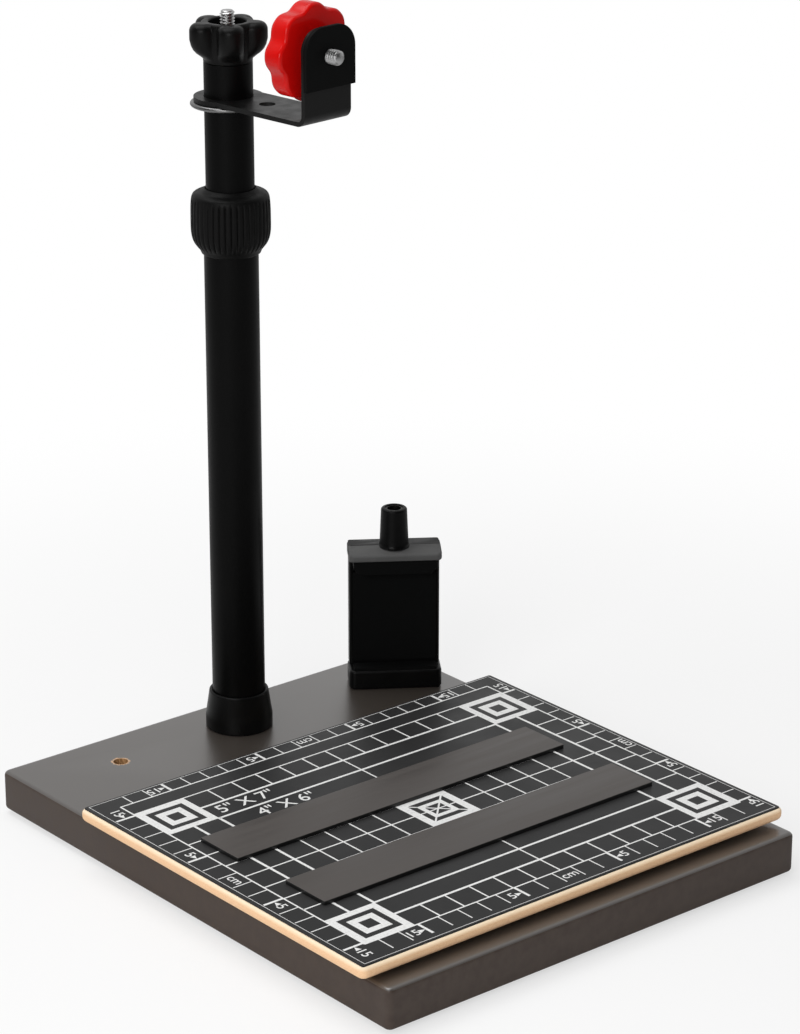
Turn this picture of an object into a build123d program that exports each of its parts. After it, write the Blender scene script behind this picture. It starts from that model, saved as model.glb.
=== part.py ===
from build123d import *
from math import cos, radians, sin
import os

os.makedirs("parts", exist_ok=True)

# A small copy stand: a laminated base board carries a telescopic column with a
# twist-lock collar, a swivelling L bracket with a clamping knob, and a lock knob
# on a camera stud.  A printed work board with two magnetic strips lies on the
# base, and a sprung phone clamp stands beside the column.
# Millimetres, +Z up, origin on the ground under the middle of the base board.
# -Y is the front, where the work board is; the column stands near the back.

# ---------------------------------------------------------------- fits
running_fit = 0.05          # radial gap of a shaft turning or sliding in its hole
bonded_fit = 0.05           # radial gap of parts glued or pressed together
free_gap = 0.3              # gap between bodies that only pass one another
face_gap = 0.2              # gap between flat faces that turn on one another

# ---------------------------------------------------------------- base board
base_width = 220.0
base_depth = 264.0
base_thickness = 18.0
base_corner_radius = 3.0
base_edge_radius = 2.0
foot_pad_height = 2.0
foot_pad_radius = 7.0
foot_pad_inset = 24.0
base_bottom = foot_pad_height
base_top = base_bottom + base_thickness

# ---------------------------------------------------------------- column
column_back_inset = 25.5    # from the column's axis to the back edge of the base
column_y = base_depth / 2 - column_back_inset
spare_hole_offset = 65.0    # second place for the column, to its left
spare_hole_radius = 3.25

bolt_radius = 4.0
bolt_length = 25.0
bolt_head_radius = 6.5
bolt_head_height = 4.8
bolt_socket_size = 6.0
bolt_socket_depth = 2.8
washer_radius = 9.0
washer_thickness = 1.6
counterbore_radius = 11.0
counterbore_depth = 7.0

upper_tube_radius = 10.4
upper_tube_wall = 1.2
upper_tube_length = 251.5
lower_tube_wall = 1.0
lower_tube_length = 230.0
lower_tube_radius = upper_tube_radius + free_gap + lower_tube_wall
tube_overhang = 63.5        # how far the upper tube stands out above the lower tube

foot_height = 17.5
foot_bottom_radius = lower_tube_radius + 3.2
foot_rim_radius = lower_tube_radius + 1.5
foot_straight_height = 6.0
foot_floor = 8.0
foot_boss_height = 8.0      # boss inside the lower tube, above the foot's floor
foot_edge_radius = 0.8

bush_flange_height = 6.0
bush_spigot_height = 12.0
bush_bore_radius = 7.0

sleeve_wall = 1.7
sleeve_height = 14.5
sleeve_chamfer = 0.5
sleeve_radius = lower_tube_radius + sleeve_wall
collet_height = 7.6
collet_base_radius = upper_tube_radius + 2.2
collet_top_radius = upper_tube_radius + 1.0
collet_slit = 1.5
collar_height = 31.0
collar_wall = 3.3
collar_radius = sleeve_radius + free_gap + collar_wall
collar_top_radius = collet_top_radius + 1.0
collar_lip_thickness = 5.0
collar_rim_height = 3.4     # rim of the collar above the collet
collar_widest_from = 11.0   # widest part of the collar, above its lower end
collar_widest_to = 17.0
collar_foot_flat = 0.5
collar_end_draw = 2.3       # how far the profile has drawn in near both ends
collar_end_height = 2.6
collar_mid_draw = 0.5
collar_mid_height = 6.2
collar_mouth_height = 1.2

plug_height = 15.0
stud_radius = 3.175         # quarter-inch camera thread
shank_radius = 2.95         # a stud's or screw's inner length, under its free thread
free_thread_gap = 0.4       # from the seat to the start of the free thread
stud_exposed = 21.5
stud_buried = 11.5
stud_tip_chamfer = 0.9

rest_ring_thickness = 2.0
rest_ring_groove = 0.35
rest_ring_split = 3.0

# ---------------------------------------------------------------- bracket
bracket_turn = 6.0          # degrees that the bracket is swung from straight ahead
bracket_thickness = 2.0
bracket_ring_radius = upper_tube_radius + 4.4
rest_ring_radius = bracket_ring_radius + 1.5
bracket_width = 26.5
bracket_reach = 59.5        # from the column's axis to the outer face of the upright
bracket_rise = 39.8
bracket_top_corner = 9.0
bend_outer_radius = 4.5
bend_inner_radius = 2.5
bracket_height_on_tube = 16.6   # from the bracket's underside to the tube's top end
bar_hole_reach = 23.5
bar_hole_radius = 3.5
screw_height = 28.0         # clamping screw above the bracket's underside

pad_height = 25.8
pad_thickness = 2.0
pad_side_lap = 0.8

red_knob_radius = 20.9
red_knob_lobes = 8
red_knob_lobe_radius = 5.7
red_knob_core_radius = 19.1
red_knob_thickness = 10.6
red_knob_hub_radius = 8.0
red_knob_hub_height = 3.0
red_knob_edge = 1.4
red_knob_crotch_radius = 2.0
red_knob_cap_radius = 9.0
red_knob_cap_depth = 1.2
knob_washer_radius = 7.0
knob_washer_thickness = 1.0
screw_reach_out = 5.2       # screw beyond the grip pad
screw_in_knob = 7.5

# ---------------------------------------------------------------- top knob
top_knob_radius = 17.0
top_knob_lobes = 5
top_knob_turn = 24.3        # degrees from +X to the first lobe
top_knob_arm_radius = 5.7
top_knob_hub_height = 4.6
top_knob_lobe_height = 12.3
top_knob_recess_radius = 8.0
top_knob_recess_depth = 9.0
top_knob_flare = 1.2        # how much the hub widens up to the lobes
top_knob_crotch_radius = 1.0
top_knob_edge = 1.3
insert_radius = 5.0

# ---------------------------------------------------------------- work board
board_overhang = 4.0        # how much wider than the base, on each side
board_back_room = 67.5      # bare strip of the base behind the board
board_front_inset = 8.5     # from the front edge of the base
board_width = base_width + 2 * board_overhang
board_depth = base_depth - board_front_inset - board_back_room
board_thickness = 6.0
board_edge_radius = 2.7
board_corner_radius = 3.5
board_x = -2.0
board_pad_height = 2.0
board_pad_radius = 8.0
board_pad_inset = 30.0
sheet_margin = 1.5
sheet_thickness = 0.6
sheet_corner_radius = 1.0
strip_length = 177.8
strip_width = 25.4
strip_thickness = 1.8
strip_corner_radius = 0.6
strip_edge_radius = 0.3
back_strip_x = -5.5
back_strip_from_front = 125.0
front_strip_x = -2.8
front_strip_from_front = 72.1

# ---------------------------------------------------------------- phone clamp
clamp_side_inset = 26.0     # from the clamp's middle to the base's right edge
clamp_back_inset = 32.8     # and to its back edge
clamp_x = base_width / 2 - clamp_side_inset
clamp_y = base_depth / 2 - clamp_back_inset
clamp_turn = -35.0
clamp_jaw_width = 42.4
clamp_body_width = 41.4
clamp_depth = 17.0
clamp_back_depth = 8.0
clamp_corner_radius = 3.0
clamp_edge_radius = 1.2
clamp_ledge_height = 9.0
clamp_height = 67.3
clamp_wall = 1.5
clamp_cavity_width = 37.0
clamp_cavity_depth = 4.9
clamp_cover_thickness = 1.6
clamp_ceiling = 7.3
clamp_gap = 0.4
tongue_width = 17.0
tongue_thickness = 2.6
tongue_height = 42.0
jaw_lip_height = 3.4
jaw_slope_height = 1.9
jaw_slope_depth = 9.6
jaw_back_inset = 1.5        # the jaw ends this far short of the housing's back
upper_pad_height = 6.4
upper_pad_width = 38.0
upper_pad_chamfer = 3.0
lower_pad_height = 1.2
face_pad_thickness = 0.8
clamp_pad_recess = 1.0
face_pad_margin = 2.0
thin_pad_corner_radius = 1.0
boss_set_back = 1.8         # from the clamp's middle towards its back
boss_base_radius = 6.6
boss_top_radius = 5.95
boss_height = 17.6
boss_edge_radius = 0.5
clamp_insert_radius = stud_radius + 0.95
clamp_insert_length = 12.0
clamp_insert_sink = 0.4
spring_x = 15.6
spring_radius = 2.0
spring_wire_radius = 0.3
spring_turns = 16
spring_end_gap = 0.1
spring_peg_radius = 1.55
spring_peg_height = 3.5
post_x = 10.9
post_radius = 1.8
post_end_inset = 8.0
cover_screw_radius = 0.9
cover_screw_head_radius = 1.7
cover_screw_head_height = 0.9
cover_screw_length = 4.0

# ---------------------------------------------------------------- heights
lower_tube_bottom = base_top + foot_floor
lower_tube_top = lower_tube_bottom + lower_tube_length
lower_tube_bore = lower_tube_radius - lower_tube_wall
upper_tube_top = lower_tube_top + tube_overhang
upper_tube_bottom = upper_tube_top - upper_tube_length
upper_tube_bore = upper_tube_radius - upper_tube_wall
collar_bottom = lower_tube_top + collet_height + collar_rim_height - collar_height
collar_top = collar_bottom + collar_height
bracket_bottom = upper_tube_top - bracket_height_on_tube
bracket_top = bracket_bottom + bracket_thickness
rest_ring_top = bracket_bottom - face_gap
screw_z = bracket_bottom + screw_height
board_y = -base_depth / 2 + board_front_inset + board_depth / 2
board_bottom = base_top + board_pad_height
board_top = board_bottom + board_thickness
core_thickness = board_thickness - sheet_thickness

# ---------------------------------------------------------------- working planes
column_axis = Axis((0, column_y, 0), (0, 0, 1))
column_side = Plane(origin=(0, column_y, 0), x_dir=(1, 0, 0), z_dir=(0, -1, 0))

bracket_out = Vector(sin(radians(bracket_turn)), -cos(radians(bracket_turn)), 0)
bracket_across = Vector(cos(radians(bracket_turn)), sin(radians(bracket_turn)), 0)

clamp_across = Vector(cos(radians(clamp_turn)), sin(radians(clamp_turn)), 0)
clamp_back = Vector(-sin(radians(clamp_turn)), cos(radians(clamp_turn)), 0)
clamp_plan = Plane(origin=(clamp_x, clamp_y, base_top), x_dir=clamp_across, z_dir=(0, 0, 1))


def column_plan(height):
    """Level plane with its origin on the column's axis."""
    return Plane(origin=(0, column_y, height))


def bracket_plan(height):
    """Level plane on the column's axis, local x along the bracket's bar."""
    return Plane(origin=(0, column_y, height), x_dir=bracket_out, z_dir=(0, 0, 1))


def bracket_face(reach):
    """Upright plane across the bracket at a distance from the column, local y up."""
    origin = Vector(0, column_y, 0) + bracket_out * reach
    return Plane(origin=origin, x_dir=bracket_across, z_dir=bracket_out)


def clamp_front_plane(depth):
    """Upright plane across the phone clamp, facing its front, local y up from the base."""
    origin = Vector(clamp_x, clamp_y, base_top) + clamp_back * depth
    return Plane(origin=origin, x_dir=clamp_across, z_dir=clamp_back * -1)


def clamp_side_plane():
    """Upright plane along the clamp's depth, local x to its back, local y up."""
    origin = Vector(clamp_x, clamp_y, base_top)
    return Plane(origin=origin, x_dir=clamp_back, z_dir=clamp_across)


def finish(builder, name):
    """Label a finished piece and write its file."""
    builder.part.label = name
    export_step(builder.part, f"parts/{name}.step")


# ================================================================ base group
# Laminated board, rounded all round, with the column's bolt hole counterbored
# from below and a plain hole for the column's second place.
with BuildPart() as base_board:
    with BuildSketch(Plane.XY.offset(base_bottom)):
        RectangleRounded(base_width, base_depth, base_corner_radius)
    extrude(amount=base_thickness)
    rims = base_board.edges().group_by(Axis.Z)
    fillet(rims[-1] + rims[0], radius=base_edge_radius)
    with BuildSketch(column_plan(base_bottom)):
        Circle(bolt_radius + free_gap)
        with Locations((-spare_hole_offset, 0)):
            Circle(spare_hole_radius)
    extrude(amount=base_thickness, mode=Mode.SUBTRACT)
    with BuildSketch(column_plan(base_bottom)):
        Circle(counterbore_radius)
    extrude(amount=counterbore_depth, mode=Mode.SUBTRACT)
finish(base_board, "base_board")

# Four stick-on rubber feet.
with BuildPart() as base_feet:
    with BuildSketch(Plane.XY):
        with GridLocations(base_width - 2 * foot_pad_inset, base_depth - 2 * foot_pad_inset, 2, 2):
            Circle(foot_pad_radius)
    extrude(amount=foot_pad_height)
    fillet(base_feet.edges().group_by(Axis.Z)[0], radius=foot_pad_height / 4)
finish(base_feet, "base_feet")

# Flat washer and socket screw that hold the column from below.
washer_bottom = base_bottom + counterbore_depth - washer_thickness
with BuildPart() as bolt_washer:
    with BuildSketch(column_plan(washer_bottom)):
        Circle(washer_radius)
        Circle(bolt_radius + free_gap, mode=Mode.SUBTRACT)
    extrude(amount=washer_thickness)
finish(bolt_washer, "bolt_washer")

with BuildPart() as column_bolt:
    with BuildSketch(column_plan(washer_bottom - bolt_head_height)):
        Circle(bolt_head_radius)
    extrude(amount=bolt_head_height)
    fillet(column_bolt.edges().group_by(Axis.Z)[0], radius=bolt_head_height / 8)
    with BuildSketch(column_plan(washer_bottom)):
        Circle(bolt_radius)
    extrude(amount=bolt_length)
    chamfer(column_bolt.edges().group_by(Axis.Z)[-1], length=bolt_radius / 5)
    with BuildSketch(column_plan(washer_bottom - bolt_head_height)):
        RegularPolygon(bolt_socket_size / 2, 6, major_radius=False)
    extrude(amount=bolt_socket_depth, mode=Mode.SUBTRACT)
finish(column_bolt, "column_bolt")

# Tapered foot cup: the lower tube stands in a ring-shaped socket between the
# cup's wall and a threaded boss that takes the bolt.
with BuildPart() as column_foot:
    with BuildSketch(column_side):
        with BuildLine():
            Polyline(
                (0, base_top),
                (foot_bottom_radius, base_top),
                (foot_bottom_radius, base_top + foot_straight_height),
                (foot_rim_radius, base_top + foot_height),
                (0, base_top + foot_height),
                close=True,
            )
        make_face()
    revolve(axis=column_axis)
    rim_edges = column_foot.edges().group_by(Axis.Z)
    fillet(rim_edges[-1], radius=(foot_rim_radius - lower_tube_radius) / 2)
    fillet(column_foot.edges().group_by(Axis.Z)[0], radius=foot_edge_radius)
    with BuildSketch(column_plan(lower_tube_bottom)):
        Circle(lower_tube_radius + bonded_fit)
    extrude(amount=foot_height, mode=Mode.SUBTRACT)
    with BuildSketch(column_plan(lower_tube_bottom)):
        Circle(lower_tube_bore - bonded_fit)
    extrude(amount=foot_boss_height)
    with BuildSketch(column_plan(base_top)):
        Circle(bolt_radius + bonded_fit)
    extrude(amount=foot_floor + foot_boss_height, mode=Mode.SUBTRACT)
finish(column_foot, "column_foot")

with BuildPart() as lower_tube:
    with BuildSketch(column_plan(lower_tube_bottom)):
        Circle(lower_tube_radius)
        Circle(lower_tube_bore, mode=Mode.SUBTRACT)
    extrude(amount=lower_tube_length)
finish(lower_tube, "lower_tube")

# Sleeve glued on the top of the lower tube; the collar screws on its outside.
with BuildPart() as thread_sleeve:
    with BuildSketch(column_plan(lower_tube_top - sleeve_height)):
        Circle(sleeve_radius)
        Circle(lower_tube_radius + bonded_fit, mode=Mode.SUBTRACT)
    extrude(amount=sleeve_height)
    chamfer(thread_sleeve.edges().filter_by(GeomType.CIRCLE).group_by(SortBy.RADIUS)[-1], length=sleeve_chamfer)
finish(thread_sleeve, "thread_sleeve")

# Split cone that the collar squeezes on the upper tube.
collet_bore = upper_tube_radius + running_fit
with BuildPart() as split_collet:
    with BuildSketch(column_side):
        with BuildLine():
            Polyline(
                (collet_bore, lower_tube_top),
                (collet_base_radius, lower_tube_top),
                (collet_top_radius, lower_tube_top + collet_height),
                (collet_bore, lower_tube_top + collet_height),
                close=True,
            )
        make_face()
    revolve(axis=column_axis)
    with BuildSketch(column_plan(lower_tube_top)):
        with Locations((0, collet_base_radius)):
            Rectangle(collet_slit, 2 * collet_base_radius)
    extrude(amount=collet_height, mode=Mode.SUBTRACT)
finish(split_collet, "split_collet")

# ================================================================ twist-lock collar
collar_bore = sleeve_radius + free_gap
collar_lip_bore = lower_tube_radius + free_gap
collar_cone_bottom = lower_tube_top + free_gap
collar_cone_top = lower_tube_top + collet_height
with BuildPart() as lock_collar:
    with BuildSketch(column_side):
        with BuildLine():
            Line((collar_lip_bore, collar_bottom), (collar_lip_bore + collar_foot_flat, collar_bottom))
            Spline(
                (collar_lip_bore + collar_foot_flat, collar_bottom),
                (collar_radius - collar_end_draw, collar_bottom + collar_end_height),
                (collar_radius - collar_mid_draw, collar_bottom + collar_mid_height),
                (collar_radius, collar_bottom + collar_widest_from),
            )
            Line(
                (collar_radius, collar_bottom + collar_widest_from),
                (collar_radius, collar_bottom + collar_widest_to),
            )
            Spline(
                (collar_radius, collar_bottom + collar_widest_to),
                (collar_radius - collar_mid_draw, collar_top - collar_mid_height),
                (collar_radius - collar_end_draw, collar_top - collar_end_height),
                (collar_top_radius, collar_top),
            )
            Polyline(
                (collar_top_radius, collar_top),
                (collet_top_radius + free_gap, collar_top - collar_mouth_height),
                (collet_top_radius + free_gap, collar_cone_top),
                (collet_base_radius + free_gap, collar_cone_bottom),
                (collar_bore, collar_cone_bottom),
                (collar_bore, collar_bottom + collar_lip_thickness),
                (collar_lip_bore, collar_bottom + collar_lip_thickness),
                (collar_lip_bore, collar_bottom),
            )
        make_face()
    revolve(axis=column_axis)
finish(lock_collar, "lock_collar")

# ================================================================ upper column
# Bush on the lower end of the upper tube: it slides in the lower tube, and the
# upper tube turns on its spigot.
bush_top = upper_tube_bottom - face_gap
with BuildPart() as guide_bush:
    with BuildSketch(column_plan(bush_top - bush_flange_height)):
        Circle(lower_tube_bore - running_fit)
    extrude(amount=bush_flange_height)
    with BuildSketch(column_plan(bush_top)):
        Circle(upper_tube_bore - running_fit)
    extrude(amount=bush_spigot_height)
    with BuildSketch(column_plan(bush_top - bush_flange_height)):
        Circle(bush_bore_radius)
    extrude(amount=bush_flange_height + bush_spigot_height, mode=Mode.SUBTRACT)
finish(guide_bush, "guide_bush")

with BuildPart() as upper_tube:
    with BuildSketch(column_plan(upper_tube_bottom)):
        Circle(upper_tube_radius)
        Circle(upper_tube_bore, mode=Mode.SUBTRACT)
    extrude(amount=upper_tube_length)
    with BuildSketch(column_plan(rest_ring_top - rest_ring_thickness)):
        Circle(upper_tube_radius)
        Circle(upper_tube_radius - rest_ring_groove, mode=Mode.SUBTRACT)
    extrude(amount=rest_ring_thickness, mode=Mode.SUBTRACT)
finish(upper_tube, "upper_tube")

# Split steel ring in the tube's groove: the bracket rests on it.
rest_ring_bore = upper_tube_radius - rest_ring_groove + bonded_fit
with BuildPart() as bracket_rest_ring:
    with BuildSketch(column_plan(rest_ring_top - rest_ring_thickness)):
        Circle(rest_ring_radius)
        Circle(rest_ring_bore, mode=Mode.SUBTRACT)
        with Locations((0, (rest_ring_radius + rest_ring_bore) / 2)):
            Rectangle(rest_ring_split, rest_ring_radius, mode=Mode.SUBTRACT)
    extrude(amount=rest_ring_thickness)
finish(bracket_rest_ring, "bracket_rest_ring")

# Plug glued in the tube's top end, with the camera stud screwed into it.
with BuildPart() as tube_plug:
    with BuildSketch(column_plan(upper_tube_top - plug_height)):
        Circle(upper_tube_bore - bonded_fit)
        Circle(stud_radius + bonded_fit, mode=Mode.SUBTRACT)
    extrude(amount=plug_height)
finish(tube_plug, "tube_plug")

top_knob_bottom = upper_tube_top + face_gap
top_knob_lobes_z = top_knob_bottom + top_knob_hub_height
top_knob_top = top_knob_lobes_z + top_knob_lobe_height
recess_floor = top_knob_top - top_knob_recess_depth
stud_bottom = upper_tube_top - stud_buried
stud_top = upper_tube_top + stud_exposed
stud_free_from = recess_floor + free_thread_gap
with BuildPart() as top_stud:
    with BuildSketch(column_plan(stud_bottom)):
        Circle(shank_radius)
    extrude(amount=stud_free_from - stud_bottom)
    with BuildSketch(column_plan(stud_free_from)):
        Circle(stud_radius)
    extrude(amount=stud_top - stud_free_from)
    ends = top_stud.edges().group_by(Axis.Z)
    chamfer(ends[-1] + ends[0], length=stud_tip_chamfer)
finish(top_stud, "top_stud")

# ================================================================ top lock knob
with BuildPart() as top_knob:
    with BuildSketch(column_plan(top_knob_bottom)):
        Circle(upper_tube_radius)
    with BuildSketch(column_plan(top_knob_lobes_z)):
        Circle(upper_tube_radius + top_knob_flare)
    loft()
    with BuildSketch(column_plan(top_knob_lobes_z)) as lobes:
        Circle(upper_tube_radius + top_knob_flare)
        lobe_reach = top_knob_radius - top_knob_arm_radius
        with PolarLocations(lobe_reach, top_knob_lobes, start_angle=top_knob_turn):
            Circle(top_knob_arm_radius)
        fillet(lobes.vertices(), radius=top_knob_crotch_radius)
    extrude(amount=top_knob_lobe_height)
    fillet(top_knob.faces().sort_by(Axis.Z)[-1].edges(), radius=top_knob_edge)
    with BuildSketch(column_plan(recess_floor)):
        Circle(top_knob_recess_radius)
    extrude(amount=top_knob_recess_depth, mode=Mode.SUBTRACT)
    with BuildSketch(column_plan(top_knob_bottom)):
        Circle(insert_radius + bonded_fit)
    extrude(amount=recess_floor - top_knob_bottom, mode=Mode.SUBTRACT)
finish(top_knob, "top_knob")

# Threaded brass insert moulded in the knob; it runs on the stud.
with BuildPart() as top_knob_insert:
    with BuildSketch(column_plan(top_knob_bottom)):
        Circle(insert_radius)
        Circle(stud_radius + running_fit, mode=Mode.SUBTRACT)
    extrude(amount=recess_floor - top_knob_bottom)
finish(top_knob_insert, "top_knob_insert")

# ================================================================ bracket group
# One strip of plate: a ring end round the upper tube, a bar with a plain hole,
# and a bent-up plate with a rounded top.
bracket_side = Plane(
    origin=(0, column_y, 0),
    x_dir=bracket_out,
    z_dir=bracket_across * -1,
)
plate_back = bracket_reach - bracket_thickness
bracket_plate_top = bracket_bottom + bracket_rise
with BuildPart() as camera_bracket:
    with BuildSketch(bracket_side) as bent_strip:
        with BuildLine():
            Polyline(
                (0, bracket_bottom),
                (bracket_reach, bracket_bottom),
                (bracket_reach, bracket_plate_top),
                (plate_back, bracket_plate_top),
                (plate_back, bracket_top),
                (0, bracket_top),
                close=True,
            )
        make_face()
        outer_bend = bent_strip.vertices().sort_by_distance((bracket_reach, bracket_bottom, 0))[0]
        fillet(outer_bend, radius=bend_outer_radius)
        inner_bend = bent_strip.vertices().sort_by_distance((plate_back, bracket_top, 0))[0]
        fillet(inner_bend, radius=bend_inner_radius)
    extrude(amount=bracket_width / 2, both=True)
    top_corners = camera_bracket.edges().filter_by(Axis((0, 0, 0), bracket_out)).group_by(Axis.Z)[-1]
    fillet(top_corners, radius=bracket_top_corner)
    with BuildSketch(bracket_plan(bracket_bottom)):
        Circle(bracket_ring_radius)
    extrude(amount=bracket_thickness)
    with BuildSketch(bracket_plan(bracket_bottom)):
        Circle(upper_tube_radius + running_fit)
        with Locations((bar_hole_reach, 0)):
            Circle(bar_hole_radius)
    extrude(amount=bracket_thickness, mode=Mode.SUBTRACT)
    with BuildSketch(bracket_face(bracket_reach)):
        with Locations((0, screw_z)):
            Circle(stud_radius + running_fit)
    extrude(amount=-bracket_thickness, mode=Mode.SUBTRACT)
finish(camera_bracket, "camera_bracket")

# Rubber pad stuck on the outer face of the upright, for the clamp to bear on.
pad_width = bracket_width + 2 * pad_side_lap
pad_top = bracket_plate_top + pad_side_lap
with BuildPart() as grip_pad:
    with BuildSketch(bracket_face(bracket_reach)) as pad_outline:
        with Locations((0, pad_top - pad_height / 2)):
            Rectangle(pad_width, pad_height)
        fillet(pad_outline.vertices().group_by(Axis.Y)[-1], radius=bracket_top_corner + pad_side_lap)
        with Locations((0, screw_z)):
            Circle(stud_radius + free_gap, mode=Mode.SUBTRACT)
    extrude(amount=pad_thickness)
finish(grip_pad, "grip_pad")

# Thin washer between the knob and the bracket.
red_knob_front = plate_back - knob_washer_thickness - 2 * face_gap
with BuildPart() as knob_washer:
    with BuildSketch(bracket_face(red_knob_front + face_gap)):
        with Locations((0, screw_z)):
            Circle(knob_washer_radius)
            Circle(stud_radius + running_fit, mode=Mode.SUBTRACT)
    extrude(amount=knob_washer_thickness)
finish(knob_washer, "knob_washer")

# Eight-lobed clamping knob with a short hub towards the bracket and its screw moulded in.
red_knob_face = red_knob_front - red_knob_hub_height
red_knob_back = red_knob_face - red_knob_thickness
with BuildPart() as red_knob:
    with BuildSketch(bracket_face(red_knob_back)) as star:
        with Locations((0, screw_z)):
            Circle(red_knob_core_radius)
            with PolarLocations(red_knob_radius - red_knob_lobe_radius, red_knob_lobes):
                Circle(red_knob_lobe_radius)
        fillet(star.vertices(), radius=red_knob_crotch_radius)
    extrude(amount=red_knob_thickness)
    knob_faces = red_knob.faces().filter_by(Axis((0, 0, 0), bracket_out))
    fillet(knob_faces.edges(), radius=red_knob_edge)
    with BuildSketch(bracket_face(red_knob_face)):
        with Locations((0, screw_z)):
            Circle(red_knob_hub_radius)
    extrude(amount=red_knob_hub_height)
    with BuildSketch(bracket_face(red_knob_back)):
        with Locations((0, screw_z)):
            Circle(red_knob_cap_radius)
    extrude(amount=red_knob_cap_depth, mode=Mode.SUBTRACT)
    with BuildSketch(bracket_face(red_knob_front)):
        with Locations((0, screw_z)):
            Circle(stud_radius + bonded_fit)
    extrude(amount=-screw_in_knob, mode=Mode.SUBTRACT)
finish(red_knob, "red_knob")

screw_inner_end = red_knob_front - screw_in_knob
screw_free_from = bracket_reach + pad_thickness + free_thread_gap
screw_tip = bracket_reach + pad_thickness + screw_reach_out
with BuildPart() as knob_screw:
    with BuildSketch(bracket_face(screw_inner_end)):
        with Locations((0, screw_z)):
            Circle(shank_radius)
    extrude(amount=screw_free_from - screw_inner_end)
    with BuildSketch(bracket_face(screw_free_from)):
        with Locations((0, screw_z)):
            Circle(stud_radius)
    extrude(amount=screw_tip - screw_free_from)
    chamfer(knob_screw.edges().sort_by(Axis((0, 0, 0), bracket_out))[-1], length=stud_tip_chamfer)
finish(knob_screw, "knob_screw")

# ================================================================ work board
# Wood-fibre core with rounded edges, and a printed steel sheet let into its top.
board_centre = Plane(origin=(board_x, board_y, board_bottom))
with BuildPart() as work_board_core:
    with BuildSketch(board_centre):
        RectangleRounded(board_width, board_depth, board_corner_radius)
    extrude(amount=core_thickness)
    core_rims = work_board_core.edges().group_by(Axis.Z)
    fillet(core_rims[0], radius=board_edge_radius)
    fillet(work_board_core.edges().group_by(Axis.Z)[-1], radius=min(sheet_margin, board_edge_radius))
finish(work_board_core, "work_board_core")

with BuildPart() as work_board_sheet:
    with BuildSketch(board_centre.offset(core_thickness)):
        RectangleRounded(board_width - 2 * sheet_margin, board_depth - 2 * sheet_margin, sheet_corner_radius)
    extrude(amount=sheet_thickness)
finish(work_board_sheet, "work_board_sheet")

# Thin pads that keep the board clear of the base.
with BuildPart() as work_board_pads:
    with BuildSketch(Plane(origin=(board_x, board_y, base_top))):
        with GridLocations(board_width - 2 * board_pad_inset, board_depth - 2 * board_pad_inset, 2, 2):
            Circle(board_pad_radius)
    extrude(amount=board_pad_height)
finish(work_board_pads, "work_board_pads")

# Two flexible magnetic strips that hold a page down.
strip_places = {
    "magnet_strip_back": (back_strip_x, back_strip_from_front - base_depth / 2),
    "magnet_strip_front": (front_strip_x, front_strip_from_front - base_depth / 2),
}
for strip_name, (strip_x, strip_y) in strip_places.items():
    with BuildPart() as magnet_strip:
        with BuildSketch(Plane(origin=(board_x + strip_x, strip_y, board_top))):
            RectangleRounded(strip_length, strip_width, strip_corner_radius)
        extrude(amount=strip_thickness)
        fillet(magnet_strip.edges().group_by(Axis.Z)[-1], radius=strip_edge_radius)
    finish(magnet_strip, strip_name)

# ================================================================ phone clamp
# Lower jaw: a ledge with a tongue that slides in the clamp's back, and two pegs
# that carry the springs.
front_face = -clamp_depth / 2
back_face = clamp_depth / 2
plate_face = back_face - clamp_back_depth
cavity_front = plate_face + clamp_wall
cavity_back = cavity_front + clamp_cavity_depth
cavity_middle = (cavity_front + cavity_back) / 2
body_bottom = clamp_ledge_height + clamp_gap
cavity_top = clamp_height - clamp_ceiling
with BuildPart() as clamp_slide_jaw:
    with BuildSketch(clamp_plan):
        RectangleRounded(clamp_jaw_width, clamp_depth, clamp_corner_radius)
    extrude(amount=clamp_ledge_height)
    ledge_rims = clamp_slide_jaw.edges().group_by(Axis.Z)
    fillet(ledge_rims[-1] + ledge_rims[0], radius=clamp_edge_radius)
    with BuildSketch(clamp_plan.offset(clamp_ledge_height)):
        with Locations((0, cavity_middle)):
            Rectangle(tongue_width, tongue_thickness)
    extrude(amount=tongue_height)
    with BuildSketch(clamp_plan.offset(clamp_ledge_height)):
        with Locations((-spring_x, cavity_middle), (spring_x, cavity_middle)):
            Circle(spring_peg_radius)
    extrude(amount=spring_peg_height)
finish(clamp_slide_jaw, "clamp_slide_jaw")

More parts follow.
